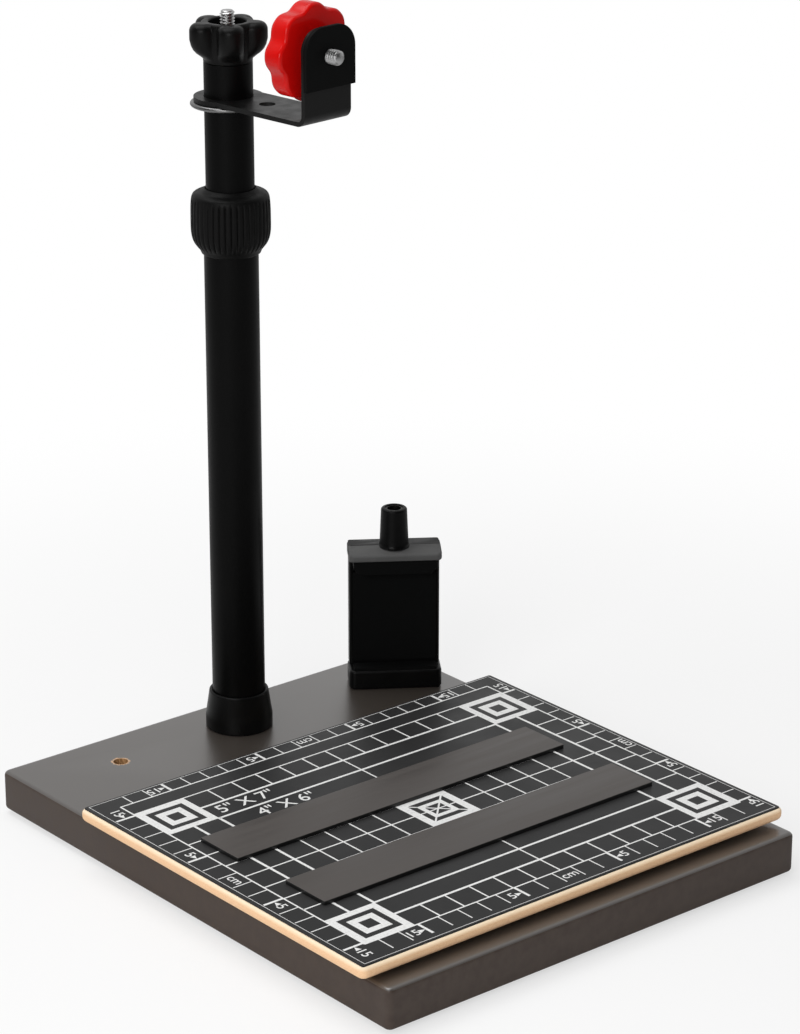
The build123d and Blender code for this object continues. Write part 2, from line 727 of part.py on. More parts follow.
# Body: back housing open to the rear, the fixed upper jaw with its slanted
# front, and the tapered boss that holds the threaded insert.
post_heights = (body_bottom + post_end_inset, cavity_top - post_end_inset)
post_places = [(x, z) for x in (-post_x, post_x) for z in post_heights]
with BuildPart() as clamp_body:
    with BuildSketch(clamp_plan.offset(body_bottom)):
        with Locations((0, (plate_face + back_face) / 2)):
            Rectangle(clamp_body_width, clamp_back_depth)
    extrude(amount=clamp_height - body_bottom)
    long_edges = clamp_body.edges().filter_by(Axis.Z)
    fillet(long_edges, radius=clamp_edge_radius)
    with BuildSketch(clamp_side_plane()):
        with BuildLine():
            Polyline(
                (front_face, clamp_height - jaw_slope_height - jaw_lip_height),
                (back_face - jaw_back_inset, clamp_height - jaw_slope_height - jaw_lip_height),
                (back_face - jaw_back_inset, clamp_height),
                (front_face + jaw_slope_depth, clamp_height),
                (front_face, clamp_height - jaw_slope_height),
                close=True,
            )
        make_face()
    extrude(amount=clamp_jaw_width / 2, both=True)
    with BuildSketch(clamp_plan.offset(body_bottom)):
        with Locations((0, cavity_middle)):
            Rectangle(clamp_cavity_width, clamp_cavity_depth)
    extrude(amount=cavity_top - body_bottom, mode=Mode.SUBTRACT)
    with BuildSketch(clamp_plan.offset(body_bottom)):
        with Locations((0, (cavity_back + back_face) / 2)):
            Rectangle(clamp_cavity_width, back_face - cavity_back)
    extrude(amount=cavity_top - body_bottom, mode=Mode.SUBTRACT)
    with BuildSketch(clamp_front_plane(cavity_front)):
        with Locations(post_places):
            Circle(post_radius)
    extrude(amount=-clamp_cavity_depth)
    with BuildSketch(clamp_front_plane(cavity_back)):
        with Locations(post_places):
            Circle(cover_screw_radius + bonded_fit)
    extrude(amount=cover_screw_length - clamp_cover_thickness, mode=Mode.SUBTRACT)
    with BuildSketch(clamp_plan.offset(cavity_top)):
        with Locations((-spring_x, cavity_middle), (spring_x, cavity_middle)):
            Circle(spring_peg_radius)
    extrude(amount=-spring_peg_height)
    with BuildSketch(clamp_plan.offset(clamp_height)):
        with Locations((0, boss_set_back)):
            Circle(boss_base_radius)
    with BuildSketch(clamp_plan.offset(clamp_height + boss_height)):
        with Locations((0, boss_set_back)):
            Circle(boss_top_radius)
    loft()
    fillet(clamp_body.edges().group_by(Axis.Z)[-1], radius=boss_edge_radius)
    with BuildSketch(clamp_plan.offset(clamp_height + boss_height)):
        with Locations((0, boss_set_back)):
            Circle(clamp_insert_radius + bonded_fit)
    extrude(amount=-clamp_insert_length, mode=Mode.SUBTRACT)
finish(clamp_body, "clamp_body")

# Brass insert with the quarter-inch thread, set just below the boss's rim.
with BuildPart() as clamp_insert:
    with BuildSketch(clamp_plan.offset(clamp_height + boss_height - clamp_insert_length)):
        with Locations((0, boss_set_back)):
            Circle(clamp_insert_radius)
            Circle(stud_radius, mode=Mode.SUBTRACT)
    extrude(amount=clamp_insert_length - clamp_insert_sink)
finish(clamp_insert, "clamp_insert")

# Cover that closes the housing, with four countersunk screws.
cover_width = clamp_cavity_width - 2 * bonded_fit
cover_height = cavity_top - body_bottom - 2 * bonded_fit
with BuildPart() as clamp_back_cover:
    with BuildSketch(clamp_front_plane(back_face)):
        with Locations((0, (body_bottom + cavity_top) / 2)):
            Rectangle(cover_width, cover_height)
    extrude(amount=clamp_cover_thickness)
    with BuildSketch(clamp_front_plane(back_face)):
        with Locations(post_places):
            Circle(cover_screw_radius + free_gap / 2)
    extrude(amount=clamp_cover_thickness, mode=Mode.SUBTRACT)
    with BuildSketch(clamp_front_plane(back_face)):
        with Locations(post_places):
            Circle(cover_screw_head_radius + free_gap / 2)
    extrude(amount=cover_screw_head_height, mode=Mode.SUBTRACT)
finish(clamp_back_cover, "clamp_back_cover")

with BuildPart() as clamp_cover_screws:
    with BuildSketch(clamp_front_plane(back_face)):
        with Locations(post_places):
            Circle(cover_screw_head_radius)
    extrude(amount=cover_screw_head_height)
    with BuildSketch(clamp_front_plane(back_face)):
        with Locations(post_places):
            Circle(cover_screw_radius)
    extrude(amount=cover_screw_length)
finish(clamp_cover_screws, "clamp_cover_screws")

# Rubber pads: a thick one under the upper jaw, thin ones on the ledge and the back.
upper_pad_top = clamp_height - jaw_slope_height - jaw_lip_height
pad_depth = plate_face - front_face - clamp_pad_recess
with BuildPart() as clamp_upper_pad:
    with BuildSketch(clamp_front_plane(plate_face)) as upper_pad_outline:
        with Locations((0, upper_pad_top - upper_pad_height / 2)):
            Rectangle(upper_pad_width, upper_pad_height)
        chamfer(upper_pad_outline.vertices().group_by(Axis.Y)[0], length=upper_pad_chamfer)
    extrude(amount=pad_depth)
finish(clamp_upper_pad, "clamp_upper_pad")

with BuildPart() as clamp_lower_pad:
    with BuildSketch(clamp_plan.offset(clamp_ledge_height)):
        with Locations((0, (front_face + plate_face) / 2)):
            RectangleRounded(upper_pad_width, pad_depth - clamp_pad_recess, thin_pad_corner_radius)
    extrude(amount=lower_pad_height)
finish(clamp_lower_pad, "clamp_lower_pad")

face_pad_bottom = body_bottom + face_pad_margin
face_pad_top = upper_pad_top - upper_pad_height - face_pad_margin / 2
with BuildPart() as clamp_face_pad:
    with BuildSketch(clamp_front_plane(plate_face)):
        with Locations((0, (face_pad_bottom + face_pad_top) / 2)):
            RectangleRounded(upper_pad_width, face_pad_top - face_pad_bottom, thin_pad_corner_radius)
    extrude(amount=face_pad_thickness)
finish(clamp_face_pad, "clamp_face_pad")

# Two extension springs pull the jaws together.
spring_bottom = clamp_ledge_height + spring_wire_radius + spring_end_gap
spring_top = cavity_top - spring_wire_radius - spring_end_gap
spring_height = spring_top - spring_bottom
with BuildPart() as clamp_springs:
    for side in (-1, 1):
        spring_base = clamp_plan.location * Location((side * spring_x, cavity_middle, spring_bottom))
        coil = spring_base * Helix(spring_height / spring_turns, spring_height, spring_radius)
        with BuildSketch(Plane(origin=coil @ 0, z_dir=coil % 0)):
            Circle(spring_wire_radius)
        sweep(path=coil, is_frenet=True)
finish(clamp_springs, "clamp_springs")
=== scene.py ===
from math import cos, pi, radians, sin, sqrt

import bmesh
import bpy
from mathutils import Matrix, Vector


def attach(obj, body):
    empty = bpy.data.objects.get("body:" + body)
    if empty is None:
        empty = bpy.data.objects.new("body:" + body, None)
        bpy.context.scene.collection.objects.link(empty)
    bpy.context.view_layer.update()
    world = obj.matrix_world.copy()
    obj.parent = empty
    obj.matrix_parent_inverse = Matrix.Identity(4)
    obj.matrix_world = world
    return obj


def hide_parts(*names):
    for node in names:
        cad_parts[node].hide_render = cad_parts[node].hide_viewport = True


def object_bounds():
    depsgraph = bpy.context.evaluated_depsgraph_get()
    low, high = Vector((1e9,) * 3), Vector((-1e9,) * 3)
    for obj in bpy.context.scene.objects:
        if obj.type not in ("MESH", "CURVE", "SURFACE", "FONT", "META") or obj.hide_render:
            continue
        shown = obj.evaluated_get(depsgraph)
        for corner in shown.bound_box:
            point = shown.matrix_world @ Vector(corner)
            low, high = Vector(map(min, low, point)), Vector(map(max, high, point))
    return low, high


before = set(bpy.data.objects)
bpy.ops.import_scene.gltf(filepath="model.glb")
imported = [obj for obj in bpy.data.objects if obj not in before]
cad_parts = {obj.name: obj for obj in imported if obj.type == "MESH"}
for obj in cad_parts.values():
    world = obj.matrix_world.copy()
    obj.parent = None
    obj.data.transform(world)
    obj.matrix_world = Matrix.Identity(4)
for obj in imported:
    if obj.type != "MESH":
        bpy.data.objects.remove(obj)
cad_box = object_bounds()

# ---------------------------------------------------------------- camera
# A long lens from the front left corner, a little above the stand's middle,
# as for a catalogue picture of it.
camera_place = (-0.8557, -1.0375, 0.6417)
camera_azimuth = -39.68
camera_height_angle = 20.14
camera_lens = 120.8

camera_data = bpy.data.cameras.new("catalogue_camera")
camera_data.lens = camera_lens
camera_data.clip_start = 0.05
camera = bpy.data.objects.new("catalogue_camera", camera_data)
camera.location = camera_place
camera.rotation_euler = (radians(90 - camera_height_angle), 0, radians(camera_azimuth))
bpy.context.scene.collection.objects.link(camera)
bpy.context.scene.camera = camera
bpy.context.scene.view_settings.view_transform = "Standard"

# ---------------------------------------------------------------- studio
# A pale floor that runs out into a white room, one broad lamp overhead, one to
# the front left, and a room that is white behind the stand and dark behind the
# camera.
room_light = 0.288
room_white = 0.8
room_dark = 0.008
room_back = (0.62, 0.76, 0.20)
room_turn_from, room_turn_to = -0.25, 0.45
floor_radius = 6.0
floor_albedo = 0.90
floor_own_white = 0.62
floor_fade_from = 0.20
floor_fade_to = 0.60
overhead_lamp = ("overhead_lamp", (-0.25, 0.30, 1.45), 1.1, 13.0)
left_lamp = ("left_lamp", (-1.25, -0.70, 0.75), 0.8, 11.4)
stand_middle = Vector((0.0, 0.0, 0.12))


def add_node(tree, kind, inputs=None, **settings):
    """Adds a shader node; its inputs are sockets of other nodes or plain values."""
    node = tree.nodes.new(kind)
    for setting, value in settings.items():
        setattr(node, setting, value)
    for name, value in (inputs or {}).items():
        if isinstance(value, bpy.types.NodeSocket):
            tree.links.new(value, node.inputs[name])
        else:
            node.inputs[name].default_value = value
    return node


def faded(tree, value, from_value, to_value, low, high=1.0):
    """A number that goes smoothly from low to high as the value crosses the range."""
    span = {"Value": value, "From Min": from_value, "From Max": to_value, "To Min": low, "To Max": high}
    return add_node(tree, "ShaderNodeMapRange", span, interpolation_type="SMOOTHSTEP").outputs["Result"]


def figured(tree, operation, first, second):
    """One step of arithmetic on two numbers or sockets."""
    return add_node(tree, "ShaderNodeMath", {0: first, 1: second}, operation=operation).outputs[0]


world = bpy.data.worlds.new("studio")
bpy.context.scene.world = world
world.use_nodes = True
room = world.node_tree
room.nodes.clear()
direction = add_node(room, "ShaderNodeTexCoord").outputs["Generated"]
back = Vector(room_back).normalized()
toward_back = add_node(room, "ShaderNodeVectorMath", {0: direction, 1: back}, operation="DOT_PRODUCT")
backdrop = faded(room, toward_back.outputs["Value"], room_turn_from, room_turn_to, room_dark, room_white)
ray = add_node(room, "ShaderNodeLightPath").outputs
seen = ray["Is Camera Ray"]
mirrored = figured(room, "MAXIMUM", ray["Is Glossy Ray"], ray["Is Transmission Ray"])
neither = figured(room, "SUBTRACT", 1.0, figured(room, "MAXIMUM", seen, mirrored))
plain = figured(room, "MULTIPLY", neither, room_light)
shown = figured(room, "ADD", seen, figured(room, "MULTIPLY", mirrored, backdrop))
strength = figured(room, "ADD", plain, shown)
background = add_node(room, "ShaderNodeBackground", {"Color": (1, 1, 1, 1), "Strength": strength})
add_node(room, "ShaderNodeOutputWorld", {"Surface": background.outputs[0]})

for lamp_name, place, size, watts in (overhead_lamp, left_lamp):
    lamp_data = bpy.data.lights.new(lamp_name, "AREA")
    lamp_data.shape = "SQUARE"
    lamp_data.size = size
    lamp_data.energy = watts
    lamp = bpy.data.objects.new(lamp_name, lamp_data)
    lamp.location = place
    lamp.rotation_euler = (stand_middle - Vector(place)).to_track_quat("-Z", "Y").to_euler()
    bpy.context.scene.collection.objects.link(lamp)

floor_mesh = bpy.data.meshes.new("floor")
floor_shape = bmesh.new()
bmesh.ops.create_circle(floor_shape, cap_ends=True, segments=96, radius=floor_radius)
floor_shape.to_mesh(floor_mesh)
floor_shape.free()
floor = bpy.data.objects.new("floor", floor_mesh)
floor.location = (0, 0, cad_box[0][2])
bpy.context.scene.collection.objects.link(floor)

floor_paint = bpy.data.materials.new("floor_paint")
floor_paint.use_nodes = True
paint = floor_paint.node_tree
paint.nodes.clear()
painted = add_node(paint, "ShaderNodeBsdfDiffuse", {"Color": (floor_albedo, floor_albedo, floor_albedo, 1)})
lit_white = add_node(paint, "ShaderNodeEmission")
from_middle = {0: add_node(paint, "ShaderNodeTexCoord").outputs["Object"]}
distance = add_node(paint, "ShaderNodeVectorMath", from_middle, operation="LENGTH").outputs["Value"]
fade = faded(paint, distance, floor_fade_from, floor_fade_to, floor_own_white)
floor_seen = add_node(paint, "ShaderNodeLightPath").outputs["Is Camera Ray"]
floor_share = figured(paint, "MULTIPLY", floor_seen, fade)
floor_mix = add_node(paint, "ShaderNodeMixShader", {0: floor_share, 1: painted.outputs[0], 2: lit_white.outputs[0]})
add_node(paint, "ShaderNodeOutputMaterial", {"Surface": floor_mix.outputs[0]})
floor_mesh.materials.append(floor_paint)

# ---------------------------------------------------------------- base board
# Thick fibreboard wrapped in dark brown satin laminate, its edges rounded over.
# The column's bolt hole is counterbored from below; the second place for the
# column is a bare hole with raw fibre showing in it.
MM = 0.001
base_thickness = 18.0
base_bottom = 2.0
base_top = base_bottom + base_thickness
base_width = 220.0
base_depth = 264.0
base_edge = 2.0
base_corner = 3.0
column_y = 106.5
bolt_hole = 4.3
counterbore = 11.0
counterbore_depth = 7.0
spare_hole_x = -65.0
spare_hole = 3.25
chipped_rim = 0.55
chip_reach = 0.6
laminate_brown = (0.0445, 0.0368, 0.0310)
laminate_light = (0.0465, 0.0388, 0.0328)
edge_brown = (0.052, 0.037, 0.030)
edge_brown_light = (0.066, 0.050, 0.041)
raw_fibre = (0.52, 0.30, 0.14)
raw_fibre_dark = (0.25, 0.13, 0.055)


def new_finish(name, colour, roughness, specular=0.5, metallic=0.0):
    """A plain surface, to which each finish adds its own grain."""
    material = bpy.data.materials.new(name)
    material.use_nodes = True
    surface = material.node_tree.nodes["Principled BSDF"]
    surface.inputs["Base Color"].default_value = (*colour, 1.0)
    surface.inputs["Roughness"].default_value = roughness
    surface.inputs["Specular IOR Level"].default_value = specular
    surface.inputs["Metallic"].default_value = metallic
    return material


def grain(material, per_metre, detail=3.0, stretch=(1, 1, 1)):
    """A noise fixed to the piece; gives back its value socket."""
    tree = material.node_tree
    place = add_node(tree, "ShaderNodeTexCoord").outputs["Object"]
    spread = add_node(tree, "ShaderNodeMapping", {"Vector": place, "Scale": stretch}).outputs["Vector"]
    noise = {"Vector": spread, "Scale": per_metre, "Detail": detail}
    return add_node(tree, "ShaderNodeTexNoise", noise).outputs["Fac"]


def ramp_between(material, value, low, high, from_value=0.35, to_value=0.65):
    """A number that goes from low to high as the value crosses the range."""
    span = {"Value": value, "From Min": from_value, "From Max": to_value, "To Min": low, "To Max": high}
    return add_node(material.node_tree, "ShaderNodeMapRange", span).outputs["Result"]


def colour_between(material, value, first, second):
    """Mixes two colours, given as triples or sockets, and returns the socket."""
    ends = [(*colour, 1.0) if isinstance(colour, tuple) else colour for colour in (first, second)]
    mix = add_node(material.node_tree, "ShaderNodeMix", {0: value, 6: ends[0], 7: ends[1]}, data_type="RGBA")
    return mix.outputs[2]


def dress(material, colour=None, roughness=None, bumps=()):
    """Joins the finish's sockets to its surface; bumps are (value, depth in mm)."""
    tree = material.node_tree
    joins = {"Base Color": colour, "Roughness": roughness}
    for value, depth in bumps:
        bump = {"Height": value, "Strength": 1.0, "Distance": depth * MM}
        if "Normal" in joins:
            bump["Normal"] = joins["Normal"]
        joins["Normal"] = add_node(tree, "ShaderNodeBump", bump).outputs["Normal"]
    for name, socket in joins.items():
        if socket is not None:
            tree.links.new(socket, tree.nodes["Principled BSDF"].inputs[name])


def skin_into(shape, rings, hollow=False, material_index=0):
    """Adds a skin through equal rings of points, in mm, capped unless it is hollow."""
    rows = [[shape.verts.new(Vector(point) * MM) for point in ring] for ring in rings]
    pairs = list(zip(rows, rows[1:]))
    if hollow:
        pairs.append((rows[-1], rows[0]))
    faces = []
    for low, high in pairs:
        for i in range(len(low)):
            j = (i + 1) % len(low)
            faces.append(shape.faces.new((low[i], low[j], high[j], high[i])))
    if not hollow:
        faces.append(shape.faces.new(rows[0][::-1]))
        faces.append(shape.faces.new(rows[-1]))
    for face in faces:
        face.material_index = material_index


def shade(mesh, crease):
    """Soft shading with crisp creases, the crease angle in degrees."""
    mesh.shade_smooth()
    mesh.set_sharp_from_angle(angle=radians(crease))


def settle(name, shape, crease=35.0):
    """Turns a finished shape into a piece with soft shading and crisp creases."""
    bmesh.ops.recalc_face_normals(shape, faces=shape.faces)
    mesh = bpy.data.meshes.new(name)
    shape.to_mesh(mesh)
    shape.free()
    shade(mesh, crease)
    piece = bpy.data.objects.new(name, mesh)
    bpy.context.scene.collection.objects.link(piece)
    return piece


def skin(name, rings, hollow=False, crease=35.0):
    """One piece from one skin."""
    shape = bmesh.new()
    skin_into(shape, rings, hollow)
    return settle(name, shape, crease)


def circle_ring(x, y, radius, height, steps=96):
    """A level ring of points about an upright axis."""
    turns = [2 * pi * k / steps for k in range(steps)]
    return [(x + radius * cos(a), y + radius * sin(a), height) for a in turns]


def placed_ring(place, radius, height, steps=48, x=0, y=0):
    """The same ring, level in a place of its own."""
    return [place @ Vector(point) for point in circle_ring(x, y, radius, height, steps)]


def turned(x, y, profile, steps=96):
    """Rings of a turned shape, from (radius, height) pairs."""
    return [circle_ring(x, y, radius, height, steps) for radius, height in profile]


def rounded_outline(width, depth, radius, corner_steps=8):
    """A rectangle with round corners, about its own middle."""
    points = []
    x, y = width / 2 - radius, depth / 2 - radius
    for middle_x, middle_y, start in ((x, y, 0), (-x, y, 90), (-x, -y, 180), (x, -y, 270)):
        for k in range(corner_steps + 1):
            a = radians(start + 90 * k / corner_steps)
            points.append((middle_x + radius * cos(a), middle_y + radius * sin(a)))
    return points


def rounded_sides(bottom, top, low_edge, high_edge, steps=5):
    """(inset, height) pairs of a slab's side with rounded lower and upper edges."""
    angles = [radians(90 * k / steps) for k in range(steps + 1)]
    low = [(low_edge * (1 - sin(a)), bottom + low_edge * (1 - cos(a))) for a in angles]
    high = [(high_edge * (1 - cos(a)), top - high_edge * (1 - sin(a))) for a in angles]
    return low + high


def slab_rings(place, width, depth, corner, sides):
    """Rings of a slab in a place of its own, from its side's (inset, height) pairs."""
    rings = []
    for inset, height in sides:
        outline = rounded_outline(width - 2 * inset, depth - 2 * inset, max(corner - inset, 0.1))
        rings.append([place @ Vector((x, y, height)) for x, y in outline])
    return rings


def use_modifiers(piece):
    """Makes what the modifiers give the piece's own mesh."""
    graph = bpy.context.evaluated_depsgraph_get()
    mesh = bpy.data.meshes.new_from_object(piece.evaluated_get(graph))
    worn = piece.data
    piece.modifiers.clear()
    piece.data = mesh
    bpy.data.meshes.remove(worn)


def carve(piece, tool, operation="DIFFERENCE"):
    """Cuts a tool out of a piece, or welds it on, and throws the tool away."""
    cut = piece.modifiers.new("cut", "BOOLEAN")
    cut.operation = operation
    cut.object = tool
    cut.solver = "EXACT"
    use_modifiers(piece)
    bpy.data.objects.remove(tool)


def drill(piece, x, y, radius, bottom, top, steps=48, material_index=0):
    """Drills an upright round hole."""
    shape = bmesh.new()
    rod = turned(x, y, ((radius, bottom), (radius, top)), steps)
    skin_into(shape, rod, material_index=material_index)
    carve(piece, settle("drill", shape))


def finish_piece(piece, *materials):
    """Gives a piece its materials, in order."""
    piece.data.materials.clear()
    for material in materials:
        piece.data.materials.append(material)


laminate = new_finish("taupe_laminate_finish", laminate_brown, 0.3, specular=1.0)
laminate_speckle = grain(laminate, 2600, detail=2.0)
laminate_cloud = grain(laminate, 55, detail=2.0)
laminate_colour = colour_between(
    laminate, ramp_between(laminate, laminate_speckle, 0, 1), laminate_brown, laminate_light
)
wrap = laminate.node_tree
wrap_place = {0: add_node(wrap, "ShaderNodeTexCoord").outputs["Object"], 1: (1, 1, 0)}
flat = add_node(wrap, "ShaderNodeVectorMath", wrap_place, operation="MULTIPLY").outputs["Vector"]
from_hole = {0: flat, 1: (spare_hole_x * MM, column_y * MM, 0)}
hole_gap = add_node(wrap, "ShaderNodeVectorMath", from_hole, operation="DISTANCE").outputs["Value"]
chips = ramp_between(laminate, grain(laminate, 900), chip_reach * MM, -chip_reach * MM, 0.3, 0.7)
rim = (spare_hole + chipped_rim) * MM
rim_mask = ramp_between(laminate, figured(wrap, "ADD", hole_gap, chips), 1, 0, rim, rim + 0.15 * MM)
laminate_colour = colour_between(laminate, rim_mask, laminate_colour, raw_fibre)
dress(
    laminate,
    colour=laminate_colour,
    roughness=ramp_between(laminate, laminate_cloud, 0.285, 0.335, 0.0, 1.0),
    bumps=((laminate_speckle, 0.0015), (laminate_cloud, 0.015)),
)
for coat, value in (("Coat Weight", 0.45), ("Coat Roughness", 0.3)):
    wrap.nodes["Principled BSDF"].inputs[coat].default_value = value
edge_wrap = new_finish("brown_edge_wrap", edge_brown, 0.5, specular=0.25)
edge_cloud = grain(edge_wrap, 240, detail=4.0)
edge_speckle = grain(edge_wrap, 2600, detail=2.0)
dress(
    edge_wrap,
    colour=colour_between(edge_wrap, ramp_between(edge_wrap, edge_cloud, 0, 1), edge_brown, edge_brown_light),
    roughness=ramp_between(edge_wrap, edge_cloud, 0.45, 0.58),
    bumps=((edge_speckle, 0.01), (edge_cloud, 0.04)),
)
bare_fibre = new_finish("bare_fibre", raw_fibre, 0.9, specular=0.2)
fibre_strands = grain(bare_fibre, 1500, detail=5.0, stretch=(1, 1, 0.35))
dress(
    bare_fibre,
    colour=colour_between(bare_fibre, ramp_between(bare_fibre, fibre_strands, 0, 1), raw_fibre_dark, raw_fibre),
    bumps=((fibre_strands, 0.25),),
)

base_sides = rounded_sides(base_bottom, base_top, base_edge, base_edge)
base_rings = slab_rings(Matrix.Identity(4), base_width, base_depth, base_corner, base_sides)
base_piece = skin("base_board_wrapped", base_rings)
finish_piece(base_piece, laminate, bare_fibre, edge_wrap)
for face in base_piece.data.polygons:
    if abs(face.normal.z) < 0.6:
        face.material_index = 2
drill(base_piece, 0, column_y, bolt_hole, base_bottom - 1, base_top + 1)
drill(base_piece, 0, column_y, counterbore, base_bottom - 1, base_bottom + counterbore_depth, material_index=1)
drill(base_piece, spare_hole_x, column_y, spare_hole, base_bottom - 1, base_top + 1, material_index=1)
shade(base_piece.data, 35)
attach(base_piece, "base")
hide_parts("base_board")

# ---------------------------------------------------------------- rubber feet
# Four stick-on domed feet of soft black rubber under the base.
foot_pad_radius = 7.0
foot_pad_inset = 24.0
foot_dome = 1.1


def grained_finish(
    name, colour, roughness, specular=0.5, metallic=0.0, cloud=(), tones=(), gloss=(), grit=(), depth=0.0
):
    """A finish whose cloud mixes its two tones and its gloss, with a grit of a depth in mm."""
    material = new_finish(name, colour, roughness, specular, metallic)
    slow = grain(material, *cloud)
    fine = grain(material, *grit) if grit else slow
    dress(
        material,
        colour=colour_between(material, slow, *tones) if tones else None,
        roughness=ramp_between(material, slow, *gloss) if gloss else None,
        bumps=((fine, depth),),
    )
    return material


feet_rubber = grained_finish(
    "feet_rubber", (0.010, 0.010, 0.010), 0.75, 0.12, cloud=(3000,), gloss=(0.65, 0.85), depth=0.02
)
feet_shape = bmesh.new()
for side_x in (-1, 1):
    for side_y in (-1, 1):
        middle = (side_x * (base_width / 2 - foot_pad_inset), side_y * (base_depth / 2 - foot_pad_inset))
        dome = [(foot_pad_radius - inset, height) for inset, height in rounded_sides(0, base_bottom, foot_dome, 0.1)]
        skin_into(feet_shape, turned(*middle, dome, 48))
feet_piece = settle("stick_on_feet", feet_shape)
finish_piece(feet_piece, feet_rubber)
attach(feet_piece, "base")
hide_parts("base_feet")

# ---------------------------------------------------------------- column bolt
# Zinc-plated washer and socket screw, put up from below into the column's foot.
zinc = new_finish("zinc_plate", (0.56, 0.56, 0.57), 0.32, metallic=1.0)
zinc_flow = grain(zinc, 900, detail=4.0)
dress(
    zinc,
    colour=colour_between(zinc, ramp_between(zinc, zinc_flow, 0, 1), (0.48, 0.48, 0.50), (0.66, 0.66, 0.65)),
    roughness=ramp_between(zinc, zinc_flow, 0.29, 0.42),
    bumps=((zinc_flow, 0.01),),
)
for bolt_node in ("bolt_washer", "column_bolt"):
    finish_piece(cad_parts[bolt_node], zinc)

# ---------------------------------------------------------------- column foot
# Moulded black cup with a short straight skirt, tapering to a rounded rim; the
# lower tube is pressed into it.
foot_skirt = 14.9
foot_rim = 13.2
foot_skirt_height = 6.0
foot_height = 17.5
foot_rim_edge = 0.75
foot_toe = 0.8
lower_radius = 11.7
moulded_black = grained_finish(
    "moulded_black", (0.003, 0.003, 0.003), 0.36, 0.10,
    cloud=(120,), tones=((0.0025, 0.0025, 0.0025), (0.0045, 0.0045, 0.0044)), gloss=(0.32, 0.42),
    grit=(2400, 2.0), depth=0.012,
)
rim_turn = [radians(90 * k / 6) for k in range(7)]
skirt_top = base_top + foot_skirt_height
foot_top = base_top + foot_height
foot_profile = [(lower_radius + 0.05, base_top + 8.5), (foot_skirt - foot_toe, base_top)]
foot_profile += [(foot_skirt - foot_toe * (1 - sin(a)), base_top + foot_toe * (1 - cos(a))) for a in rim_turn[1:]]
foot_profile += [(foot_skirt, skirt_top - 0.4), (foot_skirt - 0.15, skirt_top + 0.5)]
foot_profile += [
    (foot_rim - foot_rim_edge * (1 - cos(a)), foot_top - foot_rim_edge * (1 - sin(a))) for a in rim_turn
]
foot_profile += [(lower_radius + 0.25, foot_top - 0.1), (lower_radius + 0.05, foot_top - 0.5)]
foot_piece = skin("column_foot_cup", turned(0, column_y, foot_profile, 128), hollow=True)
finish_piece(foot_piece, moulded_black)
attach(foot_piece, "base")
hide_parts("column_foot")

# ---------------------------------------------------------------- lower tube
# Aluminium tube in satin black, with a faint drawn grain along it.
lower_bottom = base_top + 8.0
lower_top = 258.0
lower_bore = 10.7
tube_black = new_finish("satin_tube_black", (0.002, 0.002, 0.002), 0.36, specular=0.06)
drawn_grain = grain(tube_black, 1400, detail=2.0, stretch=(1, 1, 0.02))
tube_cloud = grain(tube_black, 40)
tube_dust = grain(tube_black, 5200, detail=1.0)
dust_specks = ramp_between(tube_black, tube_dust, 0, 1, 0.70, 0.78)
dress(
    tube_black,
    colour=colour_between(tube_black, dust_specks, (0.002, 0.002, 0.002), (0.014, 0.014, 0.014)),
    roughness=ramp_between(tube_black, tube_cloud, 0.33, 0.41),
    bumps=((drawn_grain, 0.004), (tube_dust, 0.004)),
)


def tube_rings(outer, bore, bottom, top, edge=0.25):
    """Closed section of a tube with broken edges, as rings."""
    outline = [
        (bore, bottom), (outer - edge, bottom), (outer, bottom + edge),
        (outer, top - edge), (outer - edge, top), (bore, top),
    ]
    return turned(0, column_y, outline, 128)


lower_piece = skin("lower_column_tube", tube_rings(lower_radius, lower_bore, lower_bottom, lower_top), hollow=True)
finish_piece(lower_piece, tube_black)
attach(lower_piece, "base")
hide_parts("lower_tube")

# Threaded sleeve and split collet: they sit inside the collar.
nylon = grained_finish(
    "natural_nylon", (0.72, 0.71, 0.66), 0.45,
    cloud=(400,), tones=((0.66, 0.65, 0.60), (0.78, 0.77, 0.72)), depth=0.02,
)
finish_piece(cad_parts["thread_sleeve"], moulded_black)
finish_piece(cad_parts["split_collet"], nylon)

# ---------------------------------------------------------------- lock collar
# Soft rubbery twist collar: a smooth sloped rim, forty upright flutes round its
# barrel, and a smooth lower end drawn in to the lower tube.
collar_flutes = 40
flute_depth = 0.55
flute_from = 240.6
flute_to = 263.4
flute_fade = 2.6
points_a_flute = 10
collar_outside = [
    (12.05, 238.6), (12.7, 239.0), (13.3, 240.4), (14.5, 241.9), (15.6, 243.4), (16.3, 244.9), (16.7, 246.4),
    (17.0, 248.4), (17.1, 250.5), (17.1, 254.5), (17.05, 258.0), (16.9, 261.0), (16.6, 263.2), (16.0, 264.5),
    (15.1, 265.1), (14.2, 265.4), (12.8, 265.75), (12.0, 266.4), (11.2, 267.05), (10.9, 267.2),
]
collar_inside = [
    (10.75, 267.0), (10.75, 266.1), (11.8, 265.9), (12.9, 258.4), (13.7, 258.3), (13.7, 243.0), (12.05, 243.0),
]


def fine_profile(points, gap=0.7):
    """Puts more points along a profile, on its own smooth curve."""
    count = len(points)
    fine = []
    for i in range(count - 1):
        before = Vector(points[max(i - 1, 0)])
        start, end = Vector(points[i]), Vector(points[i + 1])
        after = Vector(points[min(i + 2, count - 1)])
        steps = max(1, round((end - start).length / gap))
        for k in range(steps):
            t = k / steps
            curve = 2 * start + (end - before) * t
            curve += (2 * before - 5 * start + 4 * end - after) * t * t
            curve += (3 * start - before - 3 * end + after) * t * t * t
            fine.append(tuple(curve / 2))
    fine.append(points[-1])
    return fine


